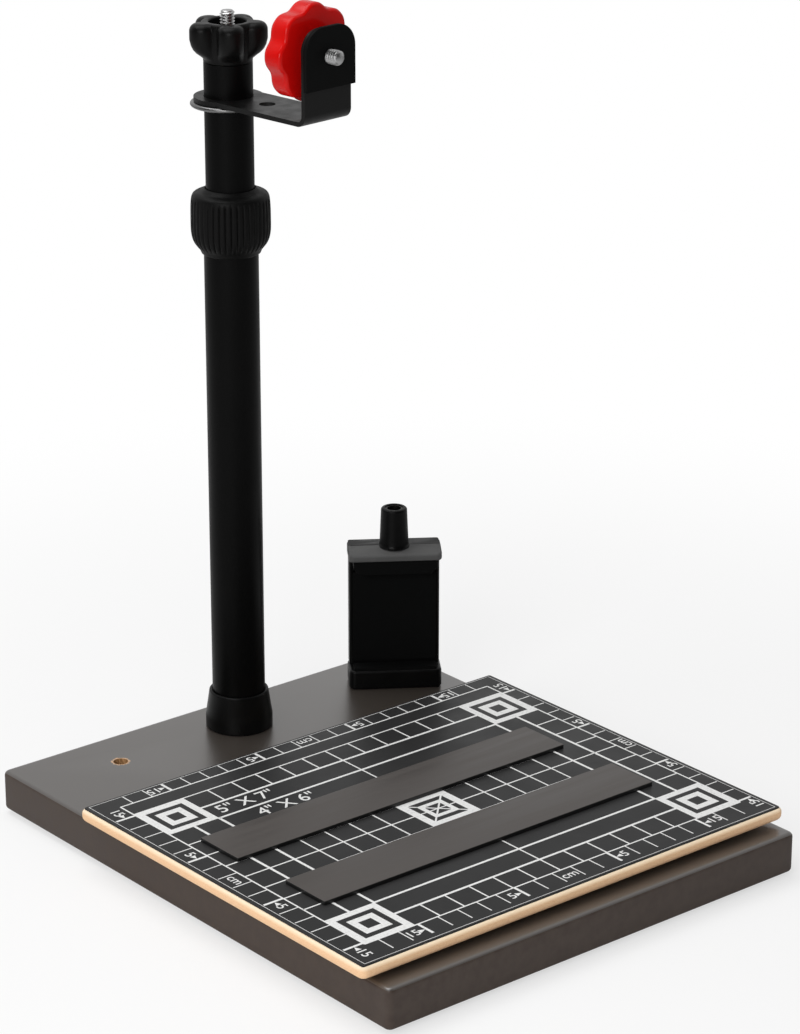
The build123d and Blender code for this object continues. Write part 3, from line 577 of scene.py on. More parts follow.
def flute_cut(angle, height):
    """How deep the flutes are cut at a point of the barrel."""
    rise = min(max((height - flute_from) / flute_fade, 0), 1)
    fall = min(max((flute_to - height) / (flute_fade / 2), 0), 1)
    ends = rise * rise * (3 - 2 * rise) * fall * fall * (3 - 2 * fall)
    wave = abs(cos(angle * collar_flutes / 2))
    return flute_depth * ends * (1 - sqrt(max(0.0, 1 - wave ** 6)))


collar_steps = collar_flutes * points_a_flute
collar_rings = []
for radius, height in fine_profile(collar_outside):
    ring = []
    for k in range(collar_steps):
        angle = 2 * pi * k / collar_steps
        at = radius - flute_cut(angle, height)
        ring.append((at * cos(angle), column_y + at * sin(angle), height))
    collar_rings.append(ring)
collar_rings += turned(0, column_y, collar_inside, collar_steps)
collar_rubber = grained_finish(
    "collar_rubber", (0.003, 0.003, 0.003), 0.5, 0.09,
    cloud=(150,), tones=((0.0025, 0.0025, 0.0025), (0.0045, 0.0045, 0.0044)), gloss=(0.44, 0.58),
    grit=(2800,), depth=0.015,
)
collar_piece = skin("fluted_lock_collar", collar_rings, hollow=True, crease=50)
finish_piece(collar_piece, collar_rubber)
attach(collar_piece, "collar")
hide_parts("lock_collar")

# ---------------------------------------------------------------- upper column
# The thinner tube that slides in the lower one, in the same satin black, with
# its guide bush inside and a plug in its top end.
upper_radius = 10.4
upper_bore = 9.2
upper_top = 321.5
upper_bottom = 70.0
upper_piece = skin("upper_column_tube", tube_rings(upper_radius, upper_bore, upper_bottom, upper_top), hollow=True)
finish_piece(upper_piece, tube_black)
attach(upper_piece, "upper_column")
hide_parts("upper_tube")
finish_piece(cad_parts["guide_bush"], nylon)
finish_piece(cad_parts["tube_plug"], moulded_black)

# ---------------------------------------------------------------- rest ring
# Split ring of darkened steel in the tube's groove; the bracket turns on it.
rest_ring_radius = 16.3
rest_ring_bore = 10.15
rest_ring_low = 302.7
rest_ring_thick = 2.0
rest_ring_gap_degrees = 14.0
bright_steel = grained_finish(
    "bright_steel", (0.72, 0.72, 0.71), 0.22, metallic=1.0,
    cloud=(1800,), tones=((0.62, 0.62, 0.62), (0.80, 0.80, 0.79)), gloss=(0.16, 0.26), depth=0.008,
)
dark_steel = grained_finish(
    "dark_ring_steel", (0.17, 0.17, 0.17), 0.3, metallic=1.0, cloud=(1800,), gloss=(0.29, 0.38), depth=0.008
)
ring_round = rest_ring_thick / 2
ring_edge = rest_ring_radius - ring_round
ring_high = rest_ring_low + rest_ring_thick
ring_section = [(rest_ring_bore, rest_ring_low), (ring_edge, rest_ring_low)]
for k in range(1, 8):
    a = radians(-90 + 180 * k / 8)
    ring_section.append((ring_edge + ring_round * cos(a), rest_ring_low + ring_round * (1 + sin(a))))
ring_section += [(ring_edge, ring_high), (rest_ring_bore, ring_high)]
ring_rings = []
for k in range(121):
    a = radians(90 + rest_ring_gap_degrees / 2 + (360 - rest_ring_gap_degrees) * k / 120)
    ring_rings.append([(radius * cos(a), column_y + radius * sin(a), height) for radius, height in ring_section])
rest_piece = skin("split_rest_ring", ring_rings)
finish_piece(rest_piece, dark_steel)
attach(rest_piece, "upper_column")
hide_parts("bracket_rest_ring")

# ---------------------------------------------------------------- top stud
# Quarter-inch stud with a rolled thread, twenty turns to the inch.
stud_radius = 3.175
thread_pitch = 1.27
thread_depth = 0.68
stud_low = upper_top - 11.5
stud_high = upper_top + 21.5
crest_flat = 0.08
flank = 0.80
tip_taper = 0.9
steps_a_pitch = 10


def threaded_rings(place, low, high, plain_to=None, around=40):
    """Rings of a threaded rod along its own z, in a place of its own; plain below plain_to."""
    rings = []
    count = round((high - low) / thread_pitch * steps_a_pitch)
    for i in range(count + 1):
        height = low + (high - low) * i / count
        from_end = min(height - low, high - height)
        limit = stud_radius - max(0.0, tip_taper - from_end)
        ring = []
        for k in range(around):
            turn = k / around
            phase = (height / thread_pitch - turn) % 1.0
            wave = min(1.0, max(0.0, (abs(phase - 0.5) * 2 - crest_flat) / flank))
            threaded = plain_to is None or height >= plain_to
            radius = min(stud_radius - (thread_depth * wave if threaded else 0.0), limit)
            ring.append(place @ Vector((radius * cos(2 * pi * turn), radius * sin(2 * pi * turn), height)))
        rings.append(ring)
    return rings


stud_place = Matrix.Translation((0, column_y, 0))
stud_piece = skin("threaded_camera_stud", threaded_rings(stud_place, stud_low, stud_high), crease=60)
thread_steel = grained_finish(
    "rolled_thread_steel", (0.40, 0.40, 0.40), 0.34, metallic=1.0, cloud=(1800,), gloss=(0.29, 0.42), depth=0.008
)
finish_piece(stud_piece, thread_steel)
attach(stud_piece, "upper_column")
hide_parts("top_stud")

# ---------------------------------------------------------------- top knob
# Black moulded knob with five round lobes and a deep recess round the stud, with
# a turned brass insert in its floor.
knob_low = upper_top + 0.2
knob_hub_top = knob_low + 4.6
knob_top = knob_hub_top + 12.3
knob_hub = 11.6
knob_neck = 10.45
knob_blend = 16.0
mouth_round = 0.8
lobe_count = 5
lobe_first = 24.3
lobe_radius = 5.7
lobe_reach = 17.0
lobe_round = 3.2
knob_mouth = 8.0
recess_floor = knob_top - 9.0
insert_radius = 5.0


def lobed_radius(angle, shrink=0.0):
    """Distance from the knob's axis to its lobed outline."""
    step = 2 * pi / lobe_count
    off = (angle - radians(lobe_first) + step / 2) % step - step / 2
    middle = lobe_reach - lobe_radius
    side = middle * sin(off)
    round_end = lobe_radius - shrink
    lobe = middle * cos(off) + sqrt(round_end ** 2 - side ** 2) if abs(side) < round_end else 0.0
    hub = knob_hub - shrink * 0.4
    return (lobe ** knob_blend + hub ** knob_blend) ** (1 / knob_blend)


def knob_ring(height, shrink, lobes=1.0, steps=360):
    """A ring of the knob: lobes at 1, plain hub at 0."""
    ring = []
    for k in range(steps):
        a = 2 * pi * k / steps
        radius = lobes * lobed_radius(a, shrink) + (1 - lobes) * (knob_neck - shrink)
        ring.append((radius * cos(a), column_y + radius * sin(a), height))
    return ring


def knob_circle(radius, height):
    """A round ring of the knob."""
    return circle_ring(0, column_y, radius, height, 360)


insert_seat = insert_radius + 0.05
knob_rings = [knob_circle(insert_seat, knob_low), knob_circle(10.3, knob_low)]
knob_rings += [knob_circle(10.4, knob_low + 0.1), knob_circle(knob_neck, knob_low + 1.0)]
for share, height in ((0.06, -3.0), (0.30, -1.7), (0.55, -0.5), (0.76, 1.0), (0.90, 2.8), (1.0, 5.4)):
    knob_rings.append(knob_ring(knob_hub_top + height, 0.0, lobes=share))
for k in range(9):
    a = radians(90 * k / 8)
    knob_rings.append(knob_ring(knob_top - lobe_round * (1 - sin(a)), lobe_round * (1 - cos(a))))
for k in range(1, 7):
    a = radians(90 * k / 6)
    knob_rings.append(knob_circle(knob_mouth + mouth_round * (1 - sin(a)), knob_top - mouth_round * (1 - cos(a))))
knob_rings += [knob_circle(knob_mouth, recess_floor), knob_circle(insert_seat, recess_floor)]
top_knob_piece = skin("five_lobe_lock_knob", knob_rings, hollow=True, crease=40)
finish_piece(top_knob_piece, moulded_black)
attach(top_knob_piece, "lock_knob")
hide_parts("top_knob")
brass = grained_finish(
    "turned_brass", (0.60, 0.42, 0.17), 0.3, metallic=1.0, cloud=(2500, 3.0, (1, 1, 6)), gloss=(0.29, 0.4), depth=0.01
)
finish_piece(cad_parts["top_knob_insert"], brass)

# ---------------------------------------------------------------- camera bracket
# One strip of steel plate: a ring end round the column, a bar with a plain hole,
# and an upright with a rounded top, bent up and powder coated black.
bracket_turn = 6.0
bracket_low = 304.9
plate_thick = 2.0
ring_end_radius = 14.8
bracket_width = 26.5
bracket_reach = 59.5
bracket_rise = 39.8
bracket_corner = 9.0
bend_outside = 4.5
bend_inside = 2.5
bar_hole_reach = 23.5
bar_hole = 3.5
screw_z = bracket_low + 28.0
screw_hole = 3.3
column_hole = upper_radius + 0.12
burr_edge = 0.45

# Bracket frame: its x runs out along the bar and its y across it.
turn_sin, turn_cos = sin(radians(bracket_turn)), cos(radians(bracket_turn))
bracket_axes = Matrix(((turn_sin, turn_cos, 0, 0), (-turn_cos, turn_sin, 0, 0), (0, 0, 1, 0), (0, 0, 0, 1)))
bracket_frame = Matrix.Translation((0, column_y, 0)) @ bracket_axes


def arc(middle, radius, start, end, steps=6):
    """Points of an arc in a flat outline, angles in degrees."""
    turns = [radians(start + (end - start) * k / steps) for k in range(steps + 1)]
    return [(middle[0] + radius * cos(a), middle[1] + radius * sin(a)) for a in turns]


def prism(name, outline, near, far):
    """A solid between the two places that near and far give an outline's points."""
    return skin(name, [[place(*point) for point in outline] for place in (near, far)])


def across_bracket(y):
    """Gives a side outline's (x, z) points their place at a distance across the bracket."""
    return lambda x, z: bracket_frame @ Vector((x, y, z))


def along_bracket(x):
    """Gives an end outline's (y, z) points their place at a distance along the bracket."""
    return lambda y, z: bracket_frame @ Vector((x, y, z))


def soften(piece, width, steps=3, angle=30.0):
    """Breaks a piece's sharp edges with a small round."""
    bevel = piece.modifiers.new("edge", "BEVEL")
    bevel.width = width * MM
    bevel.segments = steps
    bevel.limit_method = "ANGLE"
    bevel.angle_limit = radians(angle)
    bevel.harden_normals = False
    use_modifiers(piece)
    shade(piece.data, 40)
    shading = piece.modifiers.new("shading", "WEIGHTED_NORMAL")
    shading.keep_sharp = True
    use_modifiers(piece)


plate_back = bracket_reach - plate_thick
plate_top = bracket_low + bracket_rise
strip_side = [(0, bracket_low)]
strip_side += arc((bracket_reach - bend_outside, bracket_low + bend_outside), bend_outside, -90, 0, 10)
strip_side += [(bracket_reach, plate_top), (plate_back, plate_top)]
strip_side += arc((plate_back - bend_inside, bracket_low + plate_thick + bend_inside), bend_inside, 0, -90, 8)
strip_side += [(0, bracket_low + plate_thick)]
half = bracket_width / 2
bracket_piece = prism("bent_camera_bracket", strip_side, across_bracket(-half), across_bracket(half))
ring_end = [(ring_end_radius, bracket_low), (ring_end_radius, bracket_low + plate_thick)]
carve(bracket_piece, skin("ring_end", turned(0, column_y, ring_end, 96)), "UNION")
corner_y = half - bracket_corner
corner_z = plate_top - bracket_corner
for side in (-1, 1):
    waste = [(side * (half + 1), plate_top + 1), (side * (half + 1), corner_z)]
    waste += [(side * y, z) for y, z in arc((corner_y, corner_z), bracket_corner, 0, 90, 12)]
    waste += [(side * corner_y, plate_top + 1)]
    carve(bracket_piece, prism("waste", waste, along_bracket(plate_back - 1), along_bracket(bracket_reach + 1)))
bar_span = (bracket_low - 1, bracket_low + plate_thick + 1)
drill(bracket_piece, 0, column_y, column_hole, *bar_span, 96)
bar_hole_at = bracket_frame @ Vector((bar_hole_reach, 0, 0))
drill(bracket_piece, bar_hole_at.x, bar_hole_at.y, bar_hole, *bar_span, 48)
# Screw frame: its own z runs out along the clamping screw.
screw_frame = bracket_frame @ Matrix.Translation((0, 0, screw_z)) @ Matrix.Rotation(radians(90), 4, "Y")
screw_bore = [placed_ring(screw_frame, screw_hole, z) for z in (plate_back - 1, bracket_reach + 1)]
carve(bracket_piece, skin("screw_hole", screw_bore))
soften(bracket_piece, burr_edge)
powder_coat = grained_finish(
    "black_powder_coat", (0.004, 0.004, 0.004), 0.38, 0.18,
    cloud=(160,), tones=((0.003, 0.003, 0.003), (0.0055, 0.0055, 0.0055)), gloss=(0.34, 0.44),
    grit=(3400, 2.0), depth=0.02,
)
finish_piece(bracket_piece, powder_coat)
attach(bracket_piece, "bracket")
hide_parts("camera_bracket")

# ---------------------------------------------------------------- grip pad
# Die-cut rubber stuck on the upright, a little wider than the plate, with its
# lower edge cut square above the bend.
pad_lap = 0.8
pad_height = 25.8
pad_thick = 2.0
pad_hole = 3.48
pad_half = half + pad_lap
pad_top = plate_top + pad_lap
pad_corner = bracket_corner + pad_lap
pad_outline = [(-pad_half, pad_top - pad_height), (pad_half, pad_top - pad_height)]
pad_outline += arc((pad_half - pad_corner, pad_top - pad_corner), pad_corner, 0, 90, 14)
pad_outline += arc((-pad_half + pad_corner, pad_top - pad_corner), pad_corner, 90, 180, 14)
pad_face = bracket_reach + pad_thick
pad_piece = prism("rubber_grip_pad", pad_outline, along_bracket(bracket_reach), along_bracket(pad_face))
pad_bore = [placed_ring(screw_frame, pad_hole, z) for z in (bracket_reach - 1, pad_face + 1)]
carve(pad_piece, skin("pad_hole", pad_bore))
soften(pad_piece, 0.25)
pad_rubber = grained_finish(
    "pad_rubber", (0.003, 0.003, 0.003), 0.62, 0.06,
    cloud=(2600,), tones=((0.002, 0.0022, 0.0022), (0.0045, 0.0047, 0.0047)), gloss=(0.55, 0.7), depth=0.02,
)
finish_piece(pad_piece, pad_rubber)
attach(pad_piece, "bracket")
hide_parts("grip_pad")

# ---------------------------------------------------------------- clamping knob
# Glossy red moulded knob with eight soft lobes, a short hub and a sunk cap at the
# back, its screw moulded in; a nylon washer lies between it and the bracket.
red_front = plate_back - 1.4
red_hub_height = 3.0
red_hub = 8.0
red_face = red_front - red_hub_height
red_thick = 10.6
red_back = red_face - red_thick
red_radius = 20.9
red_valley = 19.0
red_lobes = 8
red_round = 3.0
front_round = 1.6
cap_radius = 9.0
cap_depth = 1.2
red_bright = (0.62, 0.004, 0.003)
red_deep = (0.50, 0.003, 0.002)


def red_ring(depth, inset, steps=320):
    """A ring of the red knob at a distance along its screw."""
    ring = []
    for k in range(steps):
        a = 2 * pi * k / steps
        wave = 0.5 + 0.5 * cos(red_lobes * a)
        scallop = 1 - (1 - wave) ** 1.5
        radius = red_valley + (red_radius - red_valley) * scallop - inset
        ring.append(screw_frame @ Vector((radius * cos(a), radius * sin(a), depth)))
    return ring


def screw_circle(radius, depth):
    """A round ring on the clamping screw's axis."""
    return placed_ring(screw_frame, radius, depth, 320)


cap_floor = red_back + cap_depth
screw_seat = stud_radius + 0.05
red_rings = [screw_circle(0.4, cap_floor), screw_circle(cap_radius - 0.5, cap_floor)]
red_rings += [screw_circle(cap_radius, cap_floor - 0.4), screw_circle(cap_radius, red_back + 0.4)]
red_rings.append(screw_circle(cap_radius + 0.5, red_back))
for k in range(9):
    a = radians(90 * k / 8)
    red_rings.append(red_ring(red_back + red_round * (1 - cos(a)), red_round * (1 - sin(a))))
for k in range(9):
    a = radians(90 * k / 8)
    red_rings.append(red_ring(red_face - front_round * (1 - sin(a)), front_round * (1 - cos(a))))
red_rings += [screw_circle(12.0, red_face), screw_circle(red_hub + 0.5, red_face)]
red_rings += [screw_circle(red_hub, red_face + 0.5), screw_circle(red_hub, red_front - 0.4)]
red_rings += [screw_circle(red_hub - 0.4, red_front), screw_circle(screw_seat, red_front)]
red_rings += [screw_circle(screw_seat, red_front - 7.5), screw_circle(0.4, red_front - 7.5)]
red_piece = skin("eight_lobe_red_knob", red_rings, crease=40)
red_plastic = grained_finish(
    "gloss_red", red_bright, 0.2, 0.16,
    cloud=(90,), tones=(red_deep, red_bright), gloss=(0.17, 0.27), grit=(700, 1.0), depth=0.02,
)
finish_piece(red_piece, red_plastic)
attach(red_piece, "clamping_knob")
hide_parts("red_knob")

screw_end = pad_face + 5.2
screw_rings = threaded_rings(screw_frame, red_front - 7.4, screw_end, plain_to=red_front - 1.0)
screw_piece = skin("threaded_clamping_screw", screw_rings, crease=60)
finish_piece(screw_piece, thread_steel)
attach(screw_piece, "clamping_knob")
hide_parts("knob_screw")
finish_piece(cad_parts["knob_washer"], nylon)

# ---------------------------------------------------------------- work board core
# Thin fibreboard with its long edges routed round; the bare beige edge shows
# all round the printed sheet, with a painted highlight, paler, along its upper edge.
board_x = -2.0
board_y = -29.5
board_bottom = 22.0
board_top = 28.0
board_width = 228.0
board_depth = 188.0
board_corner = 3.5
core_top = board_top - 0.6
beige = (0.92, 0.61, 0.36)
beige_deep = (0.84, 0.51, 0.28)
beige_painted_highlight = (0.95, 0.78, 0.57)
board_frame = Matrix.Translation((board_x, board_y, 0))
core_sides = rounded_sides(board_bottom, core_top, 2.7, 1.5, 7)
core_piece = skin("beige_board_core", slab_rings(board_frame, board_width, board_depth, board_corner, core_sides))
beige_board = new_finish("beige_fibreboard", beige, 0.55, specular=0.4)
board_fibre = grain(beige_board, 1300, detail=5.0, stretch=(1, 1, 3.5))
board_cloud = grain(beige_board, 60)
board_tree = beige_board.node_tree
board_place = {0: add_node(board_tree, "ShaderNodeTexCoord").outputs["Object"]}
board_z = add_node(board_tree, "ShaderNodeSeparateXYZ", board_place).outputs["Z"]
# Painted highlight: the colour turns pale beige towards the top of the core's rounded edge, standing for light caught
# there.
arris_painted_highlight = ramp_between(beige_board, board_z, 0, 1, (core_top - 1.5) * MM, (core_top - 0.1) * MM)
fibres = ramp_between(beige_board, board_fibre, 0, 1, 0.3, 0.6)
core_colour = colour_between(beige_board, fibres, beige_deep, beige)
core_colour = colour_between(beige_board, arris_painted_highlight, core_colour, beige_painted_highlight)
dress(
    beige_board,
    colour=core_colour,
    roughness=ramp_between(beige_board, board_cloud, 0.48, 0.66),
    bumps=((board_fibre, 0.04),),
)
finish_piece(core_piece, beige_board)
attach(core_piece, "work_board")
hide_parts("work_board_core")

# ---------------------------------------------------------------- printed sheet
# Enamelled steel sheet let into the board, with a white layout grid: an eight by
# six inch frame in inch and half-inch lines, centimetre ticks round the outside,
# a target in each corner and one in the middle.
sheet_margin = 1.5
ink_low = -0.008
ink_high = 0.030
ink_layers = 20
ink_step = 0.0012
print_x = -0.75
print_y = -32.0
print_left, print_right = -113.2, 110.7
print_front, print_back = -89.8, 94.8
rim_line, thin, bold = 0.245, 0.75, 1.25
inch = 25.4
half_inch = 12.7

enamel = new_finish("charcoal_enamel", (0.024, 0.024, 0.0245), 0.42, specular=0.12)
enamel_cloud = grain(enamel, 45)
enamel_grit = grain(enamel, 3200)
dress(
    enamel,
    colour=colour_between(enamel, enamel_grit, (0.020, 0.020, 0.0205), (0.030, 0.030, 0.030)),
    roughness=ramp_between(enamel, enamel_cloud, 0.38, 0.48),
    bumps=((enamel_grit, 0.006),),
)
sheet_sides = rounded_sides(core_top, board_top, 0.1, 0.2, 3)
sheet_width = board_width - 2 * sheet_margin
sheet_depth = board_depth - 2 * sheet_margin
sheet_piece = skin("enamelled_sheet", slab_rings(board_frame, sheet_width, sheet_depth, 1.0, sheet_sides))
finish_piece(sheet_piece, enamel)
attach(sheet_piece, "work_board")
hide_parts("work_board_sheet")

ink_shape = bmesh.new()
ink_layer = [0]


def ink_patch(corners):
    """Lays one flat patch of ink; each lies a hair above or below the last."""
    ink_layer[0] = (ink_layer[0] + 1) % ink_layers
    top = board_top + ink_high - ink_step * ink_layer[0]
    low = [(print_x + x, print_y + y, board_top + ink_low) for x, y in corners]
    high = [(print_x + x, print_y + y, top) for x, y in corners]
    skin_into(ink_shape, [low, high])


def ink_box(x0, y0, x1, y1):
    """A filled rectangle of ink."""
    ink_patch([(x0, y0), (x1, y0), (x1, y1), (x0, y1)])


def across_line(y, x0, x1, width):
    """A line from left to right."""
    ink_box(x0, y - width / 2, x1, y + width / 2)


def along_line(x, y0, y1, width):
    """A line from front to back."""
    ink_box(x - width / 2, y0, x + width / 2, y1)


def ink_frame(x, y, size, width):
    """A square frame of ink about a middle, size measured outside."""
    r = size / 2
    across_line(y + r - width / 2, x - r, x + r, width)
    across_line(y - r + width / 2, x - r, x + r, width)
    along_line(x - r + width / 2, y - r + width, y + r - width, width)
    along_line(x + r - width / 2, y - r + width, y + r - width, width)


def slanted_line(start, end, width):
    """A line between two points at any angle."""
    run = Vector((end[0] - start[0], end[1] - start[1])).normalized() * (width / 2)
    side = Vector((-run.y, run.x))
    ends = ((start, -1), (end, -1), (end, 1), (start, 1))
    ink_patch([(x + way * side.x, y + way * side.y) for (x, y), way in ends])


frame_x = 4 * inch
frame_y = 3 * inch
band_y = 85.6
target_x = 3.5 * inch
target_y = 2.5 * inch
target_size = inch
target_ring = 18.6
target_core = 13.0
target_dot = 6.4
middle_ring = 2.3
cross_reach = 9.4

# Rim line, the frame and the bare band behind it.
rim_left, rim_right = print_left + 1.3, print_right - 1.3
rim_front, rim_back = print_front + 1.0, print_back - 1.0
for y in (rim_back, rim_front):
    across_line(y, rim_left, rim_right, rim_line)
for x in (rim_left, rim_right):
    along_line(x, rim_front, rim_back, rim_line)
for side in (-1, 1):
    along_line(side * frame_x, -frame_y, band_y, thin)
for y in (band_y, frame_y, -frame_y):
    across_line(y, -frame_x, frame_x, thin)

# Sheet outlines in bold between the targets, with a ladder of half inches.
inner_x = target_x - inch / 2
inner_y = target_y - inch / 2
for side in (-1, 1):
    across_line(side * target_y, -inner_x, inner_x, bold)
    across_line(side * inner_y, -inner_x, inner_x, bold)
    along_line(side * target_x, -inner_y, inner_y, bold)
    along_line(side * inner_x, -inner_y, inner_y, bold)
    for k in range(-5, 6):
        along_line(k * half_inch, *sorted((side * target_y, side * frame_y)), thin)
    for k in range(-3, 4):
        across_line(k * half_inch, *sorted((side * target_x, side * frame_x)), thin)
across_line(0, -frame_x, frame_x, thin)
along_line(0, half_inch, target_y, thin)
along_line(0, -target_y, -half_inch, thin)

# The middle grid, two cells deep.
for k in range(-5, 6):
    if k != 0:
        along_line(k * half_inch, -half_inch, half_inch, thin)
for side in (-1, 1):
    for end in (-1, 1):
        across_line(side * half_inch, *sorted((end * half_inch, end * 5 * half_inch)), thin)

# Corner targets and the middle one, which has a cross in it.
corners = [(side_x, side_y) for side_x in (-1, 1) for side_y in (-1, 1)]
for x, y in [(side_x * target_x, side_y * target_y) for side_x, side_y in corners] + [(0, 0)]:
    ink_frame(x, y, target_size, (target_size - target_ring) / 2)
    ink_frame(x, y, target_core, (target_core - target_dot) / 2 if x else middle_ring)
for side_x, side_y in corners:
    slanted_line((0, 0), (side_x * cross_reach, side_y * cross_reach), 0.8)

# Centimetre ticks, ten millimetres long, numbered at every fifth and fifteenth.
tick_reach = 9.4
bold_steps = (25, 75)
for step in range(5, 105, 10):
    width = bold if step in bold_steps else thin * 0.75
    for side in (-1, 1):
        along_line(side * step, -frame_y - tick_reach, -frame_y, width)
        along_line(side * step, band_y, band_y + tick_reach - 1.6, width)
        if step <= 75:
            across_line(side * step, frame_x, print_right - 2.0, width)
            across_line(side * step, print_left + 2.0, -frame_x, width)


def arrow(x, y, turn):
    """A small filled arrow head whose point touches its tick; turn in degrees."""
    a = radians(turn)
    corners = []
    for along, side in ((0, 0), (-2.9, 1.35), (-2.9, -1.35)):
        corners.append((x + along * cos(a) - side * sin(a), y + along * sin(a) + side * cos(a)))
    ink_patch(corners)


def lettering(words, x, y, height, turn):
    """Plain numbers and units about a middle, as part of the ink."""
    face = bpy.data.curves.new("numbers", "FONT")
    face.body = words
    face.size = height * MM / 0.70
    face.align_x = "CENTER"
    face.align_y = "CENTER"
    face.extrude = 0.01 * MM
    face.offset = 0.045 * MM
    face.resolution_u = 3
    holder = bpy.data.objects.new("numbers", face)
    bpy.context.scene.collection.objects.link(holder)
    graph = bpy.context.evaluated_depsgraph_get()
    mesh = bpy.data.meshes.new_from_object(holder.evaluated_get(graph))
    place = Matrix.Translation(Vector((print_x + x, print_y + y, board_top + ink_high - 0.012)) * MM)
    mesh.transform(place @ Matrix.Rotation(radians(turn), 4, "Z"))
    ink_shape.from_mesh(mesh)
    bpy.data.objects.remove(holder)
    bpy.data.curves.remove(face)
    bpy.data.meshes.remove(mesh)


number_height = 4.6
label_height = 7.0
number_row = frame_y + 5.3
back_row = band_y + 4.2
side_row = frame_x + 4.8
tick_gap = 0.7
for side in (-1, 1):
    inward = 180 if side > 0 else 0
    for words, step, off in (("15", 75, 6.6), ("5", 25, 5.4)):
        for row, turn in ((-number_row, 0), (back_row, 180)):
            lettering(words, side * (step + off), row, number_height, turn)
            arrow(side * (step + tick_gap), row, inward)
        for edge, turn in ((-1, -90), (1, 90)):
            lettering(words, edge * side_row, side * (step + off), number_height, turn)
            arrow(edge * side_row, side * (step + tick_gap), -90 if side > 0 else 90)
for x, y, turn in ((0, -number_row, 0), (0, back_row, 180), (-side_row, 0, -90), (side_row, 0, 90)):
    lettering("cm", x, y, number_height, turn)
lettering("5\" X 7\"", -57.5, 57.1, label_height, 0)
lettering("4\" X 6\"", -45.5, 44.2, label_height, 0)

ink_piece = settle("layout_grid_ink", ink_shape)
white_ink = new_finish("white_screen_ink", (0.80, 0.80, 0.79), 0.55, specular=0.25)
ink_wear = grain(white_ink, 900, detail=4.0)
worn = ramp_between(white_ink, ink_wear, 0, 1, 0.3, 0.5)
dress(
    white_ink,
    colour=colour_between(white_ink, worn, (0.70, 0.70, 0.69), (0.84, 0.84, 0.83)),
    bumps=((ink_wear, 0.004),),
)
finish_piece(ink_piece, white_ink)
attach(ink_piece, "work_board")

# ---------------------------------------------------------------- board pads
# Thin round pads that hold the work board clear of the base.
pads_shape = bmesh.new()
pad_inset = 30.0
board_pad_radius = 8.0
for side_x in (-1, 1):
    for side_y in (-1, 1):
        x = board_x + side_x * (board_width / 2 - pad_inset)
        y = board_y + side_y * (board_depth / 2 - pad_inset)
        sides = rounded_sides(base_top, board_bottom, 0.3, 0.1, 3)
        puck = [(board_pad_radius - inset, height) for inset, height in sides]
        skin_into(pads_shape, turned(x, y, puck, 48))
pads_piece = settle("board_pads", pads_shape)
finish_piece(pads_piece, feet_rubber)
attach(pads_piece, "work_board")
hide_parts("work_board_pads")

# ---------------------------------------------------------------- magnetic strips
# Two lengths of flexible magnet, seven inches by one, warm grey vinyl on top and
# black at their cut edges.
strip_length = 7 * inch
strip_width = inch
strip_thick = 1.8
strip_face = (0.050, 0.043, 0.039)
strip_face_light = (0.060, 0.052, 0.047)
strip_core = (0.006, 0.006, 0.006)
magnet = new_finish("flexible_magnet", strip_face, 0.42, specular=0.42)
magnet_lines = grain(magnet, 260, detail=3.0, stretch=(0.06, 1, 1))
magnet_grit = grain(magnet, 2600)
magnet_tree = magnet.node_tree
magnet_normal = {0: add_node(magnet_tree, "ShaderNodeNewGeometry").outputs["True Normal"]}
magnet_up = add_node(magnet_tree, "ShaderNodeSeparateXYZ", magnet_normal).outputs["Z"]
face_up = ramp_between(magnet, magnet_up, 0, 1, 0.55, 0.9)
magnet_colour = colour_between(magnet, ramp_between(magnet, magnet_lines, 0, 1), strip_face, strip_face_light)
dress(
    magnet,
    colour=colour_between(magnet, face_up, strip_core, magnet_colour),
    roughness=ramp_between(magnet, magnet_lines, 0.38, 0.5),
    bumps=((magnet_grit, 0.008), (magnet_lines, 0.03)),
)
for strip_name, strip_body, strip_x, strip_y in (
    ("magnet_strip_back", "back_strip", -7.5, -7.0),
    ("magnet_strip_front", "front_strip", -4.8, -59.9),
):
    strip_frame = Matrix.Translation((strip_x, strip_y, 0))
    strip_sides = rounded_sides(board_top, board_top + strip_thick, 0.1, 0.3, 4)
    strip_rings = slab_rings(strip_frame, strip_length, strip_width, 0.6, strip_sides)
    strip_piece = skin(strip_name + "_vinyl", strip_rings)
    finish_piece(strip_piece, magnet)
    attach(strip_piece, strip_body)
    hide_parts(strip_name)

# ---------------------------------------------------------------- clamp lower jaw
# Moulded ledge with a rounded front and a raised lip, on a tongue that slides up
# inside the clamp's back.
clamp_frame = Matrix.Translation((84.0, 99.2, base_top)) @ Matrix.Rotation(radians(-35), 4, "Z")
jaw_width = 42.4
jaw_depth = 17.0
ledge_height = 9.0
jaw_corner = 3.0
plate_face = 0.5
peg_x = 15.6
clamp_black = grained_finish(
    "clamp_black", (0.003, 0.003, 0.003), 0.34, 0.09,
    cloud=(110,), tones=((0.002, 0.002, 0.002), (0.0038, 0.0038, 0.0038)), gloss=(0.30, 0.40),
    grit=(3000, 2.0), depth=0.014,
)
ledge_sides = rounded_sides(0.0, ledge_height, 1.2, 1.2, 5)
ledge_piece = skin("clamp_ledge", slab_rings(clamp_frame, jaw_width, jaw_depth, jaw_corner, ledge_sides))
tongue_middle = plate_face + 1.5 + 4.9 / 2
tongue_width = 17.0
tongue_thick = 2.6
tongue_rings = []
for inset, height in rounded_sides(ledge_height - 1.0, ledge_height + 42.0, 0.05, 0.6, 3):
    outline = rounded_outline(tongue_width - 2 * inset, tongue_thick - 2 * min(inset, 0.5), 0.4, 4)
    tongue_rings.append([clamp_frame @ Vector((x, y + tongue_middle, height)) for x, y in outline])
carve(ledge_piece, skin("tongue", tongue_rings), "UNION")
peg_profile = ((1.55, ledge_height - 1.0), (1.55, ledge_height + 3.1), (1.15, ledge_height + 3.5))
